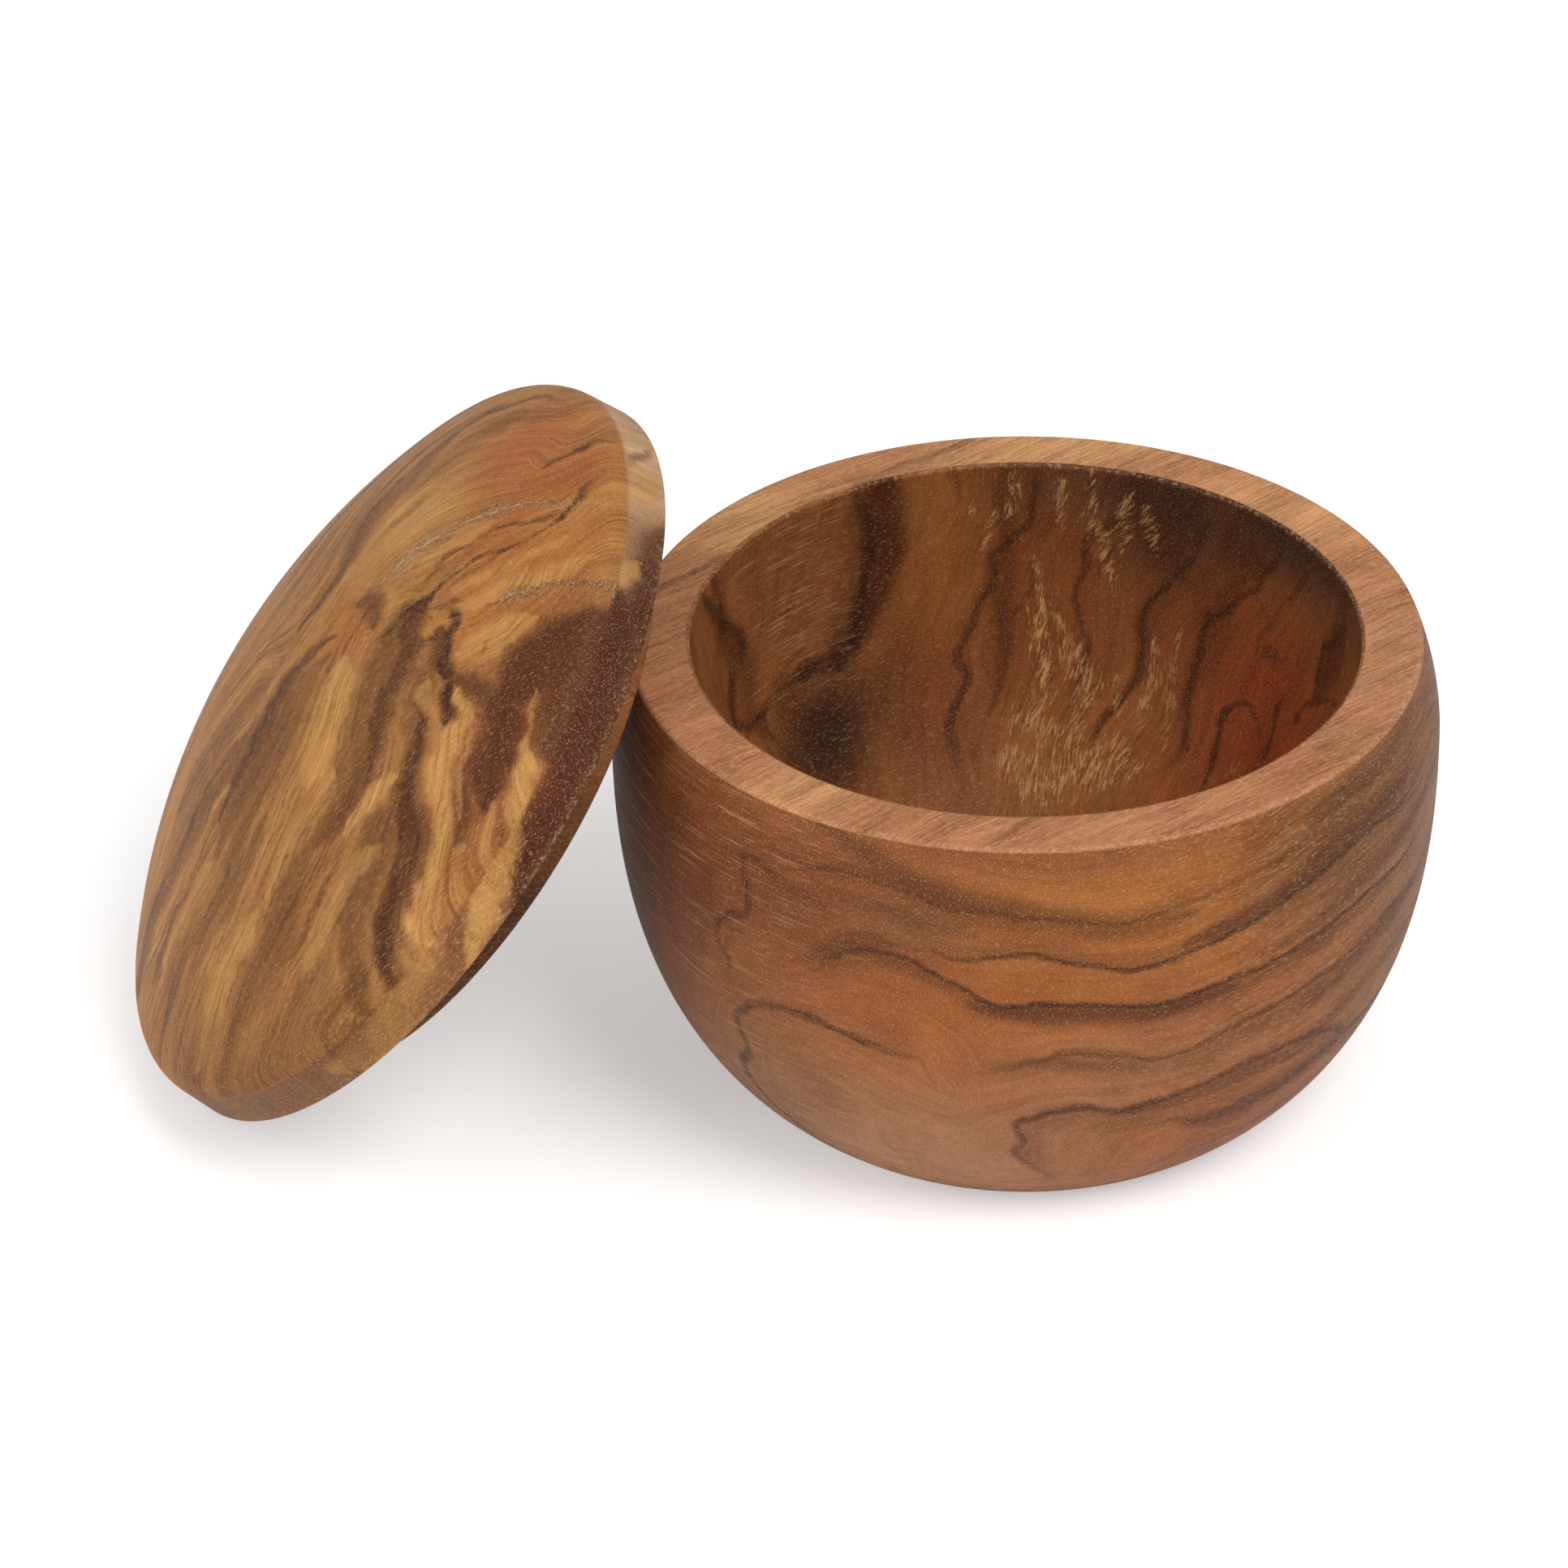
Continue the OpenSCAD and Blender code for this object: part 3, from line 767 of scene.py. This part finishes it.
def figure_levels(points, veins, guides, place):
    """The figure's level at each point: a smooth field that is level along every vein."""
    lines = [(v.level, v.points) for v in veins if v.level is not None] + list(guides)
    centres = np.concatenate([place(np.array(line, float)) for _, line in lines])
    levels = np.concatenate([np.full(len(line), float(level)) for level, line in lines])
    count = len(centres)

    def terms(p):
        distance = np.linalg.norm(p[:, None, :] - centres[None, :, :], axis=2)
        return distance, np.concatenate([np.ones((len(p), 1)), p], axis=1)

    bend, plane = terms(centres)
    system = np.zeros((count + 4, count + 4))
    system[:count, :count] = bend - FIGURE_SOFTNESS * np.eye(count)
    system[:count, count:] = plane
    system[count:, :count] = plane.T
    system[count:, count:] = 1e-6 * np.eye(4)
    weights = np.linalg.solve(system, np.concatenate([levels, np.zeros(4)]))
    bend, plane = terms(points)
    return bend @ weights[:count] + plane @ weights[count:]


def tinted(base, flat, patches, wrap=None):
    """The colour at each point, from a base and soft patches: the wood's own tones, with painted shade
    and painted highlight in some patches. flat are the points in the patches' own two coordinates; wrap
    is the length of a turn in the first."""
    colour = np.tile(base, (len(flat), 1))
    for patch in patches:
        gap = flat - np.array(patch.at, float)
        if wrap:
            gap[:, 0] = (gap[:, 0] + wrap / 2) % wrap - wrap / 2
        turn = math.radians(patch.turn)
        lengthways = gap[:, 0] * math.cos(turn) + gap[:, 1] * math.sin(turn)
        crossways = gap[:, 1] * math.cos(turn) - gap[:, 0] * math.sin(turn)
        near = (lengthways / patch.size[0]) ** 2 + (crossways / patch.size[1]) ** 2
        weight = (patch.strength * np.exp(-near ** PATCH_EDGE))[:, None]
        colour = colour * (1 - weight) + patch.colour * weight
    return colour


def on_side(radius):
    """Places (angle, height) points on a side whose radius goes by height."""
    def place(flat):
        angle, z = np.radians(flat[:, 0]), flat[:, 1]
        r = radius(np.clip(z, FLOOR_T + 0.1, BOWL_H))
        return np.stack([r * np.cos(angle), r * np.sin(angle), z], axis=1)
    return place


def at_height(height):
    """Places (x, y) points on a face whose height goes by radius."""
    def place(flat):
        r = np.clip(np.hypot(flat[:, 0], flat[:, 1]), 0, LID_R)
        return np.stack([flat[:, 0], flat[:, 1], height(r)], axis=1)
    return place


def outwards(line):
    """Directions away from the axis, at points of a side."""
    return line * [1, 1, 0]


def upwards(line):
    """Directions up the axis, at points of a face."""
    return np.tile([0.0, 0.0, 1.0], (len(line), 1))


def fibre_coordinates(points):
    """(along, across, up) the fibres of the bowl's blank"""
    cos_f, sin_f = math.cos(FIBRE_TURN), math.sin(FIBRE_TURN)
    return np.stack([
        points[:, 0] * cos_f + points[:, 1] * sin_f,
        points[:, 1] * cos_f - points[:, 0] * sin_f,
        points[:, 2],
    ], axis=1)


def bell(value, middle, half_width, power=2):
    return np.exp(-np.abs((value - middle) / half_width) ** power)


def ramp(value, low, high):
    """0 at low, 1 at high, smooth between"""
    t = np.clip((value - low) / (high - low), 0, 1)
    return t * t * (3 - 2 * t)


# Pale corners: wear, and painted highlight along the same edges
def near_edge_wear_and_sheen(points, corners, reach=0.7):
    """1 on an edge, given as (radius, height), and 0 beyond its reach"""
    r = np.hypot(points[:, 0], points[:, 1])
    worn = np.zeros(len(points))
    for corner_r, corner_z in corners:
        distance = np.hypot(r - corner_r, points[:, 2] - corner_z)
        worn = np.maximum(worn, 1 - ramp(distance, 0.2, reach))
    return worn


class Fields:
    """The wood fields of one turned piece. Each becomes an attribute of its mesh."""

    # The single values, each with its field and its place there: contrast of the streaks, amount
    # of speckle, wear of an edge with painted sheen on it, growth lines, lathe rings, and contrast of the
    # broad streaks
    SINGLE = {"contrast": ("feel", 0), "speckle": ("feel", 1), "worn": ("feel", 2),
              "growth": ("marks", 0), "lathe": ("marks", 1), "broad": ("marks", 2)}

    def __init__(self, count):
        self.tint = np.ones((count, 4))
        # Along the figure, across it, and the third way, in mm
        self.grain = np.zeros((count, 3))
        # Along the fibres, and the two ways across them, in mm
        self.fibre = np.zeros((count, 3))
        self.vein_side = np.full((count, LAYERS), VEIN_REACH)
        self.vein_dark = np.zeros((count, LAYERS))
        self.crack = np.full((count, LAYERS), NO_CRACK)
        # Stains: dark, pale and torn
        self.stain_cover = np.zeros((count, 3))
        self.stain_strength = np.zeros((count, 3))
        self.feel = np.zeros((count, 3))
        self.marks = np.zeros((count, 3))

    def set(self, rows, **values):
        for name, value in values.items():
            field, channel = self.SINGLE[name]
            getattr(self, field)[rows, channel] = value

    def draw(self, rows, drawn, place, up=upwards, veins=(), stains=(), flames=(), torn=()):
        """Veins and strokes, where place puts them, on the rows of the drawn points."""
        self.vein_side[rows], self.vein_dark[rows] = vein_fields(drawn, veins, place, up)
        for channel, strokes in enumerate((stains, flames, torn)):
            cover, strength = stroke_field(drawn, strokes, place)
            self.stain_cover[rows, channel] = cover
            self.stain_strength[rows, channel] = strength


def fill_bowl(shape):
    fields = Fields(len(shape.points))
    angle, z = shape.angle, shape.points[:, 2]
    fields.fibre[:] = fibre_coordinates(shape.points)
    corners = [(MOUTH_R, BOWL_H), (RIM_R, BOWL_H), (FOOT_R, 0)]
    # Pale mouth, rim and foot corners: wear with painted highlight
    fields.set(slice(None), worn=near_edge_wear_and_sheen(shape.points, corners))

    rows = np.flatnonzero(shape.zone == FOOT)
    fields.tint[rows, :3] = BROWN_TAN
    fields.grain[rows] = fields.fibre[rows]
    fields.set(rows, contrast=0.6, speckle=0.5, growth=UNSEEN_GROWTH, lathe=0.5, broad=0.5)

    rows = np.flatnonzero(shape.zone == OUTSIDE)
    points = shape.points[rows]
    side_angle = np.where(angle[rows] > 60, angle[rows] - 360, angle[rows])
    place = on_side(outside_r)
    level = figure_levels(points, OUTSIDE_VEINS, OUTSIDE_GUIDES, place)
    fields.grain[rows] = np.stack([points[:, 0], level, points[:, 1]], axis=1)
    flat = np.stack([side_angle, z[rows]], axis=1)
    drawn = place(shaken(flat, 0.45, MM_PER_DEGREE))
    fields.draw(rows, drawn, place, outwards, OUTSIDE_VEINS, OUTSIDE_STAINS)
    fields.tint[rows, :3] = tinted(ORANGE_BROWN, flat, OUTSIDE_PATCHES, 360)
    hidden = ramp(np.abs(side_angle - OUTSIDE_SEEN), 78, 112)
    right = np.maximum(ramp(side_angle, -80, -45), hidden)
    rings = ramp(-side_angle, 100, 140) + 0.8 * (1 - ramp(z[rows], 6, 18))
    fields.set(rows, contrast=0.35 + 0.55 * right, speckle=0.75 + 0.25 * bell(side_angle, -130, 30),
               growth=UNSEEN_GROWTH * hidden, lathe=np.clip(rings, 0, 1), broad=0.35 + 0.4 * right)

    rows = np.flatnonzero(shape.zone == RIM)
    points = shape.points[rows]
    fields.grain[rows] = fields.fibre[rows] * [1, 1, 0]
    fields.draw(rows, points, at_height(lambda r: np.full_like(r, BOWL_H)), veins=RIM_VEINS)
    fields.tint[rows, :3] = tinted(RIM_PINK, points[:, :2], RIM_PATCHES)
    fields.set(rows, contrast=0.8, speckle=1.0, broad=0.6)

    rows = np.flatnonzero(shape.zone == INSIDE)
    place = on_side(inside_r)
    level = figure_levels(shape.points[rows], INSIDE_VEINS, INSIDE_GUIDES, place)
    fields.grain[rows] = np.stack([z[rows], level * INSIDE_STREAKS, fields.fibre[rows, 0]], axis=1)
    flat = np.stack([angle[rows], z[rows]], axis=1)
    drawn = place(shaken(flat, 0.7, MM_PER_DEGREE))
    fields.draw(rows, drawn, place, outwards, INSIDE_VEINS, INSIDE_STAINS, torn=TORN_GRAIN)
    fields.tint[rows, :3] = tinted(INSIDE_BROWN, flat, INSIDE_PATCHES, 360)
    hidden = ramp(np.abs(angle[rows] - INSIDE_SEEN), 90, 112)
    rings = bell(angle[rows], 136, 15, 4) * ramp(z[rows], 33, 38)
    fields.set(rows, contrast=0.6, speckle=0.6 + 0.3 * bell(angle[rows], 30, 25),
               growth=UNSEEN_GROWTH * hidden, lathe=rings, broad=0.6)
    return fields


def fill_lid(shape):
    fields = Fields(len(shape.points))
    points = shape.points
    level = figure_levels(points * [1, 1, 0], DOME_VEINS, DOME_GUIDES, at_height(np.zeros_like))
    fields.grain[:] = np.stack([points[:, 0], level, points[:, 2]], axis=1)
    fields.fibre[:] = points
    corners = [(LID_R, 0), (LID_R - EDGE_DRAFT, EDGE_H)]
    # Pale lid corners, with a longer reach: wear with painted sheen along the arris
    fields.set(slice(None), worn=near_edge_wear_and_sheen(points, corners, 1.0))
    fields.tint[:, :3] = tinted(DOME_TAN, points[:, :2], DOME_PATCHES)

    rows = np.flatnonzero(shape.zone == DOME)
    place = at_height(dome_z)
    drawn = place(shaken(points[rows, :2]))
    fields.draw(rows, drawn, place, upwards, DOME_VEINS, DOME_STAINS, DOME_FLAMES)
    crack_side, crack_dark = vein_fields(drawn, DOME_CRACKS, place, upwards)
    fields.crack[rows] = crack_side / np.maximum(crack_dark, 0.02)
    left = 1 - ramp(points[rows, 0], 0, 25)
    fields.set(rows, contrast=0.9 + 0.3 * left, speckle=0.7,
               growth=0.6 * ramp(points[rows, 1], 14, 26), broad=0.45 + 0.25 * left)

    rows = np.flatnonzero(shape.zone == EDGE)
    flat = np.stack([shape.angle[rows], points[rows, 2]], axis=1)
    fields.tint[rows, :3] = tinted(EDGE_TAN, flat, EDGE_PATCHES, 360)
    place = on_side(lambda z: np.full_like(z, LID_R))
    drawn = place(shaken(flat, 0.7, MM_PER_DEGREE))
    fields.draw(rows, drawn, place, stains=EDGE_STAINS, flames=EDGE_FLAMES)
    fields.set(rows, contrast=0.45, speckle=1.0, broad=0.4)

    rows = np.flatnonzero((shape.zone == SPIGOT) | (shape.zone == FLANGE))
    # Painted shade: the spigot side and the flange darkened where they face away from the light
    fields.tint[rows, :3] = tinted(BROWN_TAN, points[rows, :2], UNDERSIDE_SHADE_PATCHES)
    fields.set(rows, contrast=0.6, speckle=0.5, growth=0.6, lathe=0.5, broad=0.5)
    return fields


# Materials

class Graph:
    """Short calls for the nodes of a material or a world."""

    def __init__(self, owner):
        owner.use_nodes = True
        self.tree = owner.node_tree
        self.tree.nodes.clear()

    def node(self, kind, settings=None, inputs=None):
        """A new node. What goes into an input is a value or another node's output."""
        made = self.tree.nodes.new(kind)
        for key, value in (settings or {}).items():
            setattr(made, key, value)
        for key, value in (inputs or {}).items():
            if isinstance(value, bpy.types.NodeSocket):
                self.tree.links.new(value, made.inputs[key])
            else:
                made.inputs[key].default_value = value
        return made

    def attribute(self, name, output="Vector"):
        return self.node("ShaderNodeAttribute", {"attribute_name": name}).outputs[output]

    def maths(self, operation, *values):
        settings = {"operation": operation}
        return self.node("ShaderNodeMath", settings, dict(enumerate(values))).outputs[0]

    def plus(self, first, second):
        return self.maths("ADD", first, second)

    def minus(self, first, second):
        return self.maths("SUBTRACT", first, second)

    def times(self, first, second):
        return self.maths("MULTIPLY", first, second)

    def larger(self, first, second):
        return self.maths("MAXIMUM", first, second)

    def swing(self, noise, size):
        """Noise brought from 0..1 to -size/2..size/2"""
        return self.times(self.minus(noise, 0.5), size)

    def vector(self, operation, first, second):
        settings = {"operation": operation}
        return self.node("ShaderNodeVectorMath", settings, {0: first, 1: second}).outputs["Vector"]

    def vector_swing(self, noise, size):
        return self.vector("MULTIPLY", self.vector("SUBTRACT", noise, (0.5, 0.5, 0.5)), size)

    def parts(self, vector):
        """The three parts of a vector"""
        return list(self.node("ShaderNodeSeparateXYZ", {}, {"Vector": vector}).outputs)

    def noise(self, at, scale, detail=2.0, roughness=0.5, output="Fac"):
        """Noise, of one scale or of one for each axis"""
        if isinstance(scale, tuple):
            at, scale = self.vector("MULTIPLY", at, scale), 1.0
        return self.node("ShaderNodeTexNoise", {}, {
            "Vector": at, "Scale": scale, "Detail": detail, "Roughness": roughness,
        }).outputs[output]

    def span(self, value, low, high, to_low=0.0, to_high=1.0, kind="SMOOTHSTEP"):
        """value from low..high to to_low..to_high, held at both ends"""
        return self.node("ShaderNodeMapRange", {"interpolation_type": kind, "clamp": True}, {
            "Value": value, "From Min": low, "From Max": high, "To Min": to_low,
            "To Max": to_high,
        }).outputs["Result"]

    def mix(self, share, first, second, blend="MIX"):
        settings = {"data_type": "RGBA", "blend_type": blend}
        return self.node("ShaderNodeMix", settings, {0: share, 6: first, 7: second}).outputs[2]

    def painted(self, colour, mask, strength, paint):
        """colour, with paint over it where the mask is"""
        return self.mix(self.times(mask, strength), colour, rgba(paint))


def rgba(colour):
    return (*[float(c) for c in colour], 1.0)


def wood_material(name):
    """Sanded olive wood, from the fields on the mesh."""
    material = bpy.data.materials.new(name)
    g = Graph(material)
    grain = g.attribute("grain")
    fibre = g.attribute("fibre")
    dark_cover, pale_cover, torn_cover = g.parts(g.attribute("stain_cover"))
    dark_strength, pale_strength, torn_strength = g.parts(g.attribute("stain_strength"))
    contrast, speckle, worn = g.parts(g.attribute("feel"))
    growth, lathe, broad_contrast = g.parts(g.attribute("marks"))

    # The figure's own coordinates, swayed a little, and the widths of streak that run along it
    sway = g.vector_swing(g.noise(fibre, 0.09, 2, output="Color"), (0, 2.4, 0))
    bent = g.vector("ADD", grain, sway)
    broad = g.noise(bent, (0.03, 0.28, 0.03), 3, 0.55)
    middle = g.noise(bent, (0.06, 1.2, 0.06), 3, 0.65)
    fine = g.noise(bent, (0.11, 3.4, 0.11), 3, 0.7)
    threads = g.noise(bent, (0.03, 1.5, 0.03), 4, 0.75)
    hairs = g.noise(fibre, (0.3, 4.6, 4.6), 2, 0.6)
    mottle = g.noise(fibre, 0.16, 4, 0.6)

    # Stains: dark ones, then the pale flames, with edges that the streaks make ragged
    ragged = g.minus(g.times(g.plus(middle, fine), 0.5), 0.5)
    ragged = g.plus(ragged, g.swing(hairs, 0.35))
    ragged = g.plus(ragged, g.swing(mottle, 0.5))
    ragged = g.times(ragged, g.plus(g.times(contrast, 1.5), 0.5))
    spread = g.plus(dark_cover, ragged)
    dark = g.times(g.span(spread, 0.15, 1.05), g.span(dark_cover, 0.0, 0.25))
    spread = g.minus(pale_cover, ragged)
    pale = g.times(g.span(spread, 0.3, 0.9), g.span(pale_cover, 0.0, 0.25))
    colour = g.painted(g.attribute("tint", "Color"), dark, dark_strength, CHOCOLATE)
    colour = g.painted(colour, pale, pale_strength, CREAM)

    # Streaks, each with its own contrast
    streak = g.swing(broad, broad_contrast)
    for noise, share in ((middle, 0.75), (fine, 0.95), (hairs, 0.45)):
        streak = g.plus(streak, g.times(g.swing(noise, contrast), share))
    streak = g.plus(streak, g.swing(mottle, 0.4))
    share = g.span(streak, -0.30, 0.30, kind="LINEAR")
    shaded = g.mix(1.0, colour, SHADE, "MULTIPLY")
    lit = g.mix(1.0, colour, LIGHT, "MULTIPLY")
    colour = g.mix(share, shaded, lit)
    thin = g.times(g.span(threads, 0.44, 0.30), g.span(contrast, 0.3, 1.0))
    colour = g.mix(g.times(thin, 0.75), colour, shaded)

    # Growth lines where the photograph shows none: thin dark lines at a few levels of the figure
    level = g.maths("DIVIDE", g.parts(bent)[1], GROWTH_SPACING)
    wave = g.maths("ABSOLUTE", g.minus(g.maths("FRACT", level), 0.5))
    line = g.span(wave, 0.03, 0.12, 1.0, 0.0)
    patchy = g.span(g.noise(bent, (0.02, 0.06, 0.05)), 0.42, 0.6)
    vein = g.times(g.times(line, patchy), growth)

    # Veins: the nearest in each layer, wavy, and some with one soft side
    wavy = g.vector_swing(g.noise(fibre, 0.55, 3, output="Color"), (1.0, 1.0, 1.0))
    rough = g.vector_swing(g.noise(bent, (0.2, 3.0, 0.2), 4, output="Color"), (0.9, 0.9, 0.9))
    shifted = g.vector("ADD", g.vector("ADD", g.attribute("vein_side"), wavy), rough)
    for offset, strength in zip(g.parts(shifted), g.parts(g.attribute("vein_dark"))):
        core = g.span(g.maths("ABSOLUTE", offset), 0.1, 1.5, 1.0, 0.0)
        soft = g.times(g.span(offset, 2.0, 6.2, 0.42, 0.0), g.span(offset, -1.0, 0.0))
        vein = g.larger(vein, g.times(g.larger(core, soft), strength))
    colour = g.painted(colour, vein, g.span(fine, 0.3, 0.7, 1.0, 0.8), VEIN_BROWN)

    # Torn grain: pale ragged fibres with dark pits between them
    flecks = g.noise(bent, (0.5, 3.2, 0.5), 5, 0.8)
    spread = g.plus(torn_cover, g.swing(flecks, 5.0))
    torn = g.times(g.span(spread, 0.8, 1.3), g.span(torn_cover, 0.0, 0.4))
    colour = g.painted(colour, torn, torn_strength, TORN_TAN)
    pits = g.times(g.span(flecks, 0.40, 0.33), g.span(torn_cover, 0.3, 0.8))
    colour = g.painted(colour, pits, 0.7, NEAR_BLACK)

    # Pores are long tubes along the fibres: dots on end grain and dashes on long grain, some of
    # them filled with pale dust and some open and dark
    tubes = g.noise(fibre, (1.2, 5.5, 5.5), 2, 0.65)
    colour = g.painted(colour, g.times(g.span(tubes, 0.53, 0.70), speckle), 0.36, PALE_DUST)
    colour = g.painted(colour, g.times(g.span(tubes, 0.45, 0.30), speckle), 0.35, DARK_BROWN)

    # Lathe rings: fine level scratches
    metres = g.node("ShaderNodeTexCoord").outputs["Object"]
    x, _, height = g.parts(g.vector("MULTIPLY", metres, (1 / MM, 1 / MM, 1 / MM)))
    rings = {"X": g.times(x, 0.16), "Z": g.times(height, 3.2)}
    scratch = g.noise(g.node("ShaderNodeCombineXYZ", {}, rings).outputs[0], 1, 3, 0.7)
    scratches = g.times(g.span(scratch, 0.54, 0.68), lathe)
    colour = g.painted(colour, scratches, 0.36, PALE_DUST)
    colour = g.painted(colour, g.times(g.span(scratch, 0.46, 0.34), lathe), 0.3, DARK_BROWN)

    # Worn edges: pale where the sanding broke the corner, and painted highlight along the same corners
    pale_chips_and_sheen = g.span(g.noise(fibre, 1.6, 3, 0.65), 0.45, 0.68)
    colour = g.painted(colour, g.times(pale_chips_and_sheen, worn), 0.28, PALE_DUST)

    # Cracks: broken hair lines filled with pale dust, and more dust beside them
    offsets = g.parts(g.vector("ADD", g.attribute("crack"), rough))
    distances = [g.maths("ABSOLUTE", offset) for offset in offsets]
    hair = reduce(g.larger, [g.span(distance, 0.3, 1.0, 1.0, 0.0) for distance in distances])
    near = reduce(g.larger, [g.span(distance, 1.0, 4.5, 1.0, 0.0) for distance in distances])
    hair = g.times(hair, g.span(g.noise(fibre, 1.3, 3, 0.6), 0.40, 0.52))
    dust = g.larger(g.times(near, g.span(tubes, 0.50, 0.62, 0.0, 0.6)), hair)
    colour = g.painted(colour, dust, 0.75, CRACK_GREY)

    # Surface: the same marks as a fine relief, and a satin that is a little duller in the pores
    relief = g.plus(g.times(fine, 0.4), g.times(tubes, 0.8))
    relief = g.minus(relief, g.times(hair, 1.0))
    relief = g.plus(relief, g.times(torn, 1.2))
    relief = g.minus(relief, g.times(pits, 1.5))
    relief = g.minus(relief, g.times(scratches, 0.4))
    bump = g.node("ShaderNodeBump", {}, {
        "Strength": 0.4, "Distance": RELIEF * MM, "Height": relief,
    })
    surface = g.node("ShaderNodeBsdfPrincipled", {}, {
        "Base Color": colour,
        "Roughness": g.span(tubes, 0.3, 0.7, 0.64, 0.5),
        "Specular IOR Level": 0.14,
        "Normal": bump.outputs["Normal"],
    })
    g.node("ShaderNodeOutputMaterial", {}, {"Surface": surface.outputs["BSDF"]})
    return material


# Pieces

bowl_shape = turned(*bowl_outline(), BOWL_STEPS)
bowl_piece = make_piece("bowl_turned", bowl_shape, bowl_shape.points, fill_bowl(bowl_shape))
bowl_piece.data.materials.append(wood_material("bowl_olive_wood"))
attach(bowl_piece, "bowl")
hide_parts("bowl")

lid_shape = turned(*lid_outline(), LID_STEPS)
lid_rotation, lid_middle = lid_place()
lid_points = lid_shape.points @ lid_rotation.T + lid_middle
lid_piece = make_piece("lid_turned", lid_shape, lid_points, fill_lid(lid_shape))
lid_piece.data.materials.append(wood_material("lid_olive_wood"))
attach(lid_piece, "lid")
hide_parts("lid")


# Floor, light and camera

# Half the floor's side, in metres
FLOOR_HALF = 4.0
FLOOR_COLOUR = (0.82, 0.82, 0.82)
# What the floor adds of its own for the camera, so that it shows nearly white
FLOOR_LIFT = 0.42
WHITE = (1.0, 1.0, 1.0)
# Strength of the world's even light
WORLD_LIGHT = 0.50


def floor_material():
    """A pale matt surface that camera, mirror and glass rays see a little lighter."""
    material = bpy.data.materials.new("pale_floor")
    g = Graph(material)
    rays = g.node("ShaderNodeLightPath").outputs
    seen = g.larger(rays["Is Camera Ray"], rays["Is Glossy Ray"])
    seen = g.larger(seen, rays["Is Transmission Ray"])
    matt = g.node("ShaderNodeBsdfDiffuse", {}, {"Color": rgba(FLOOR_COLOUR)})
    glow = g.node("ShaderNodeEmission", {}, {"Strength": g.times(seen, FLOOR_LIFT)})
    both = g.node("ShaderNodeAddShader", {}, {0: matt.outputs[0], 1: glow.outputs[0]})
    g.node("ShaderNodeOutputMaterial", {}, {"Surface": both.outputs[0]})
    return material


def make_floor():
    mesh = bpy.data.meshes.new("floor")
    corners = [(-1, -1), (1, -1), (1, 1), (-1, 1)]
    mesh.from_pydata([(x * FLOOR_HALF, y * FLOOR_HALF, 0) for x, y in corners], [], [(0, 1, 2, 3)])
    mesh.materials.append(floor_material())
    floor = add_to_scene(bpy.data.objects.new("floor", mesh))


def make_world():
    """Even soft light, and a white background for the camera."""
    world = bpy.data.worlds.new("studio")
    bpy.context.scene.world = world
    g = Graph(world)
    seen = g.node("ShaderNodeLightPath").outputs["Is Camera Ray"]
    soft, white = [
        g.node("ShaderNodeBackground", {}, {"Color": rgba(WHITE), "Strength": strength}).outputs[0]
        for strength in (WORLD_LIGHT, 1.0)
    ]
    both = g.node("ShaderNodeMixShader", {}, {0: seen, 1: soft, 2: white})
    g.node("ShaderNodeOutputWorld", {}, {"Surface": both.outputs[0]})


def soft_box(name, place, target, size, power):
    """A round soft lamp aimed at a place, in metres and watts."""
    lamp = bpy.data.lights.new(name, "AREA")
    lamp.shape = "DISK"
    lamp.size = size
    lamp.energy = power
    box = add_to_scene(bpy.data.objects.new(name, lamp))
    away = Vector(place) - Vector(target)
    box.matrix_world = Matrix.Translation(place) @ away.to_track_quat("Z", "Y").to_matrix().to_4x4()


# Camera: measured from the rim's two ellipses and the outlines, in metres and photo pixels
CAMERA_AT = (-0.02923, -0.74729, 0.51763)
CAMERA_PITCH = math.radians(32.665)
CAMERA_ROLL = math.radians(0.934)
PHOTO_WIDTH = 1932
FOCAL_PIXELS = 9000
SENSOR_WIDTH = 36.0


def make_camera():
    data = bpy.data.cameras.new("camera")
    data.sensor_width = SENSOR_WIDTH
    data.sensor_fit = "HORIZONTAL"
    data.lens = FOCAL_PIXELS / PHOTO_WIDTH * SENSOR_WIDTH
    data.clip_start = 0.05
    data.clip_end = 20
    camera = add_to_scene(bpy.data.objects.new("camera", data))
    level = Matrix.Rotation(math.pi / 2 - CAMERA_PITCH, 4, "X")
    roll = Matrix.Rotation(-CAMERA_ROLL, 4, "Z")
    camera.matrix_world = Matrix.Translation(CAMERA_AT) @ level @ roll
    bpy.context.scene.camera = camera


make_floor()
make_world()
soft_box("key", (0.40, -0.55, 0.9), (-0.02, 0, 0.03), 0.6, 6.6)
soft_box("fill", (-0.8, -0.35, 0.55), (-0.04, 0, 0.03), 0.8, 2.6)
make_camera()
bpy.context.scene.view_settings.view_transform = "Standard"
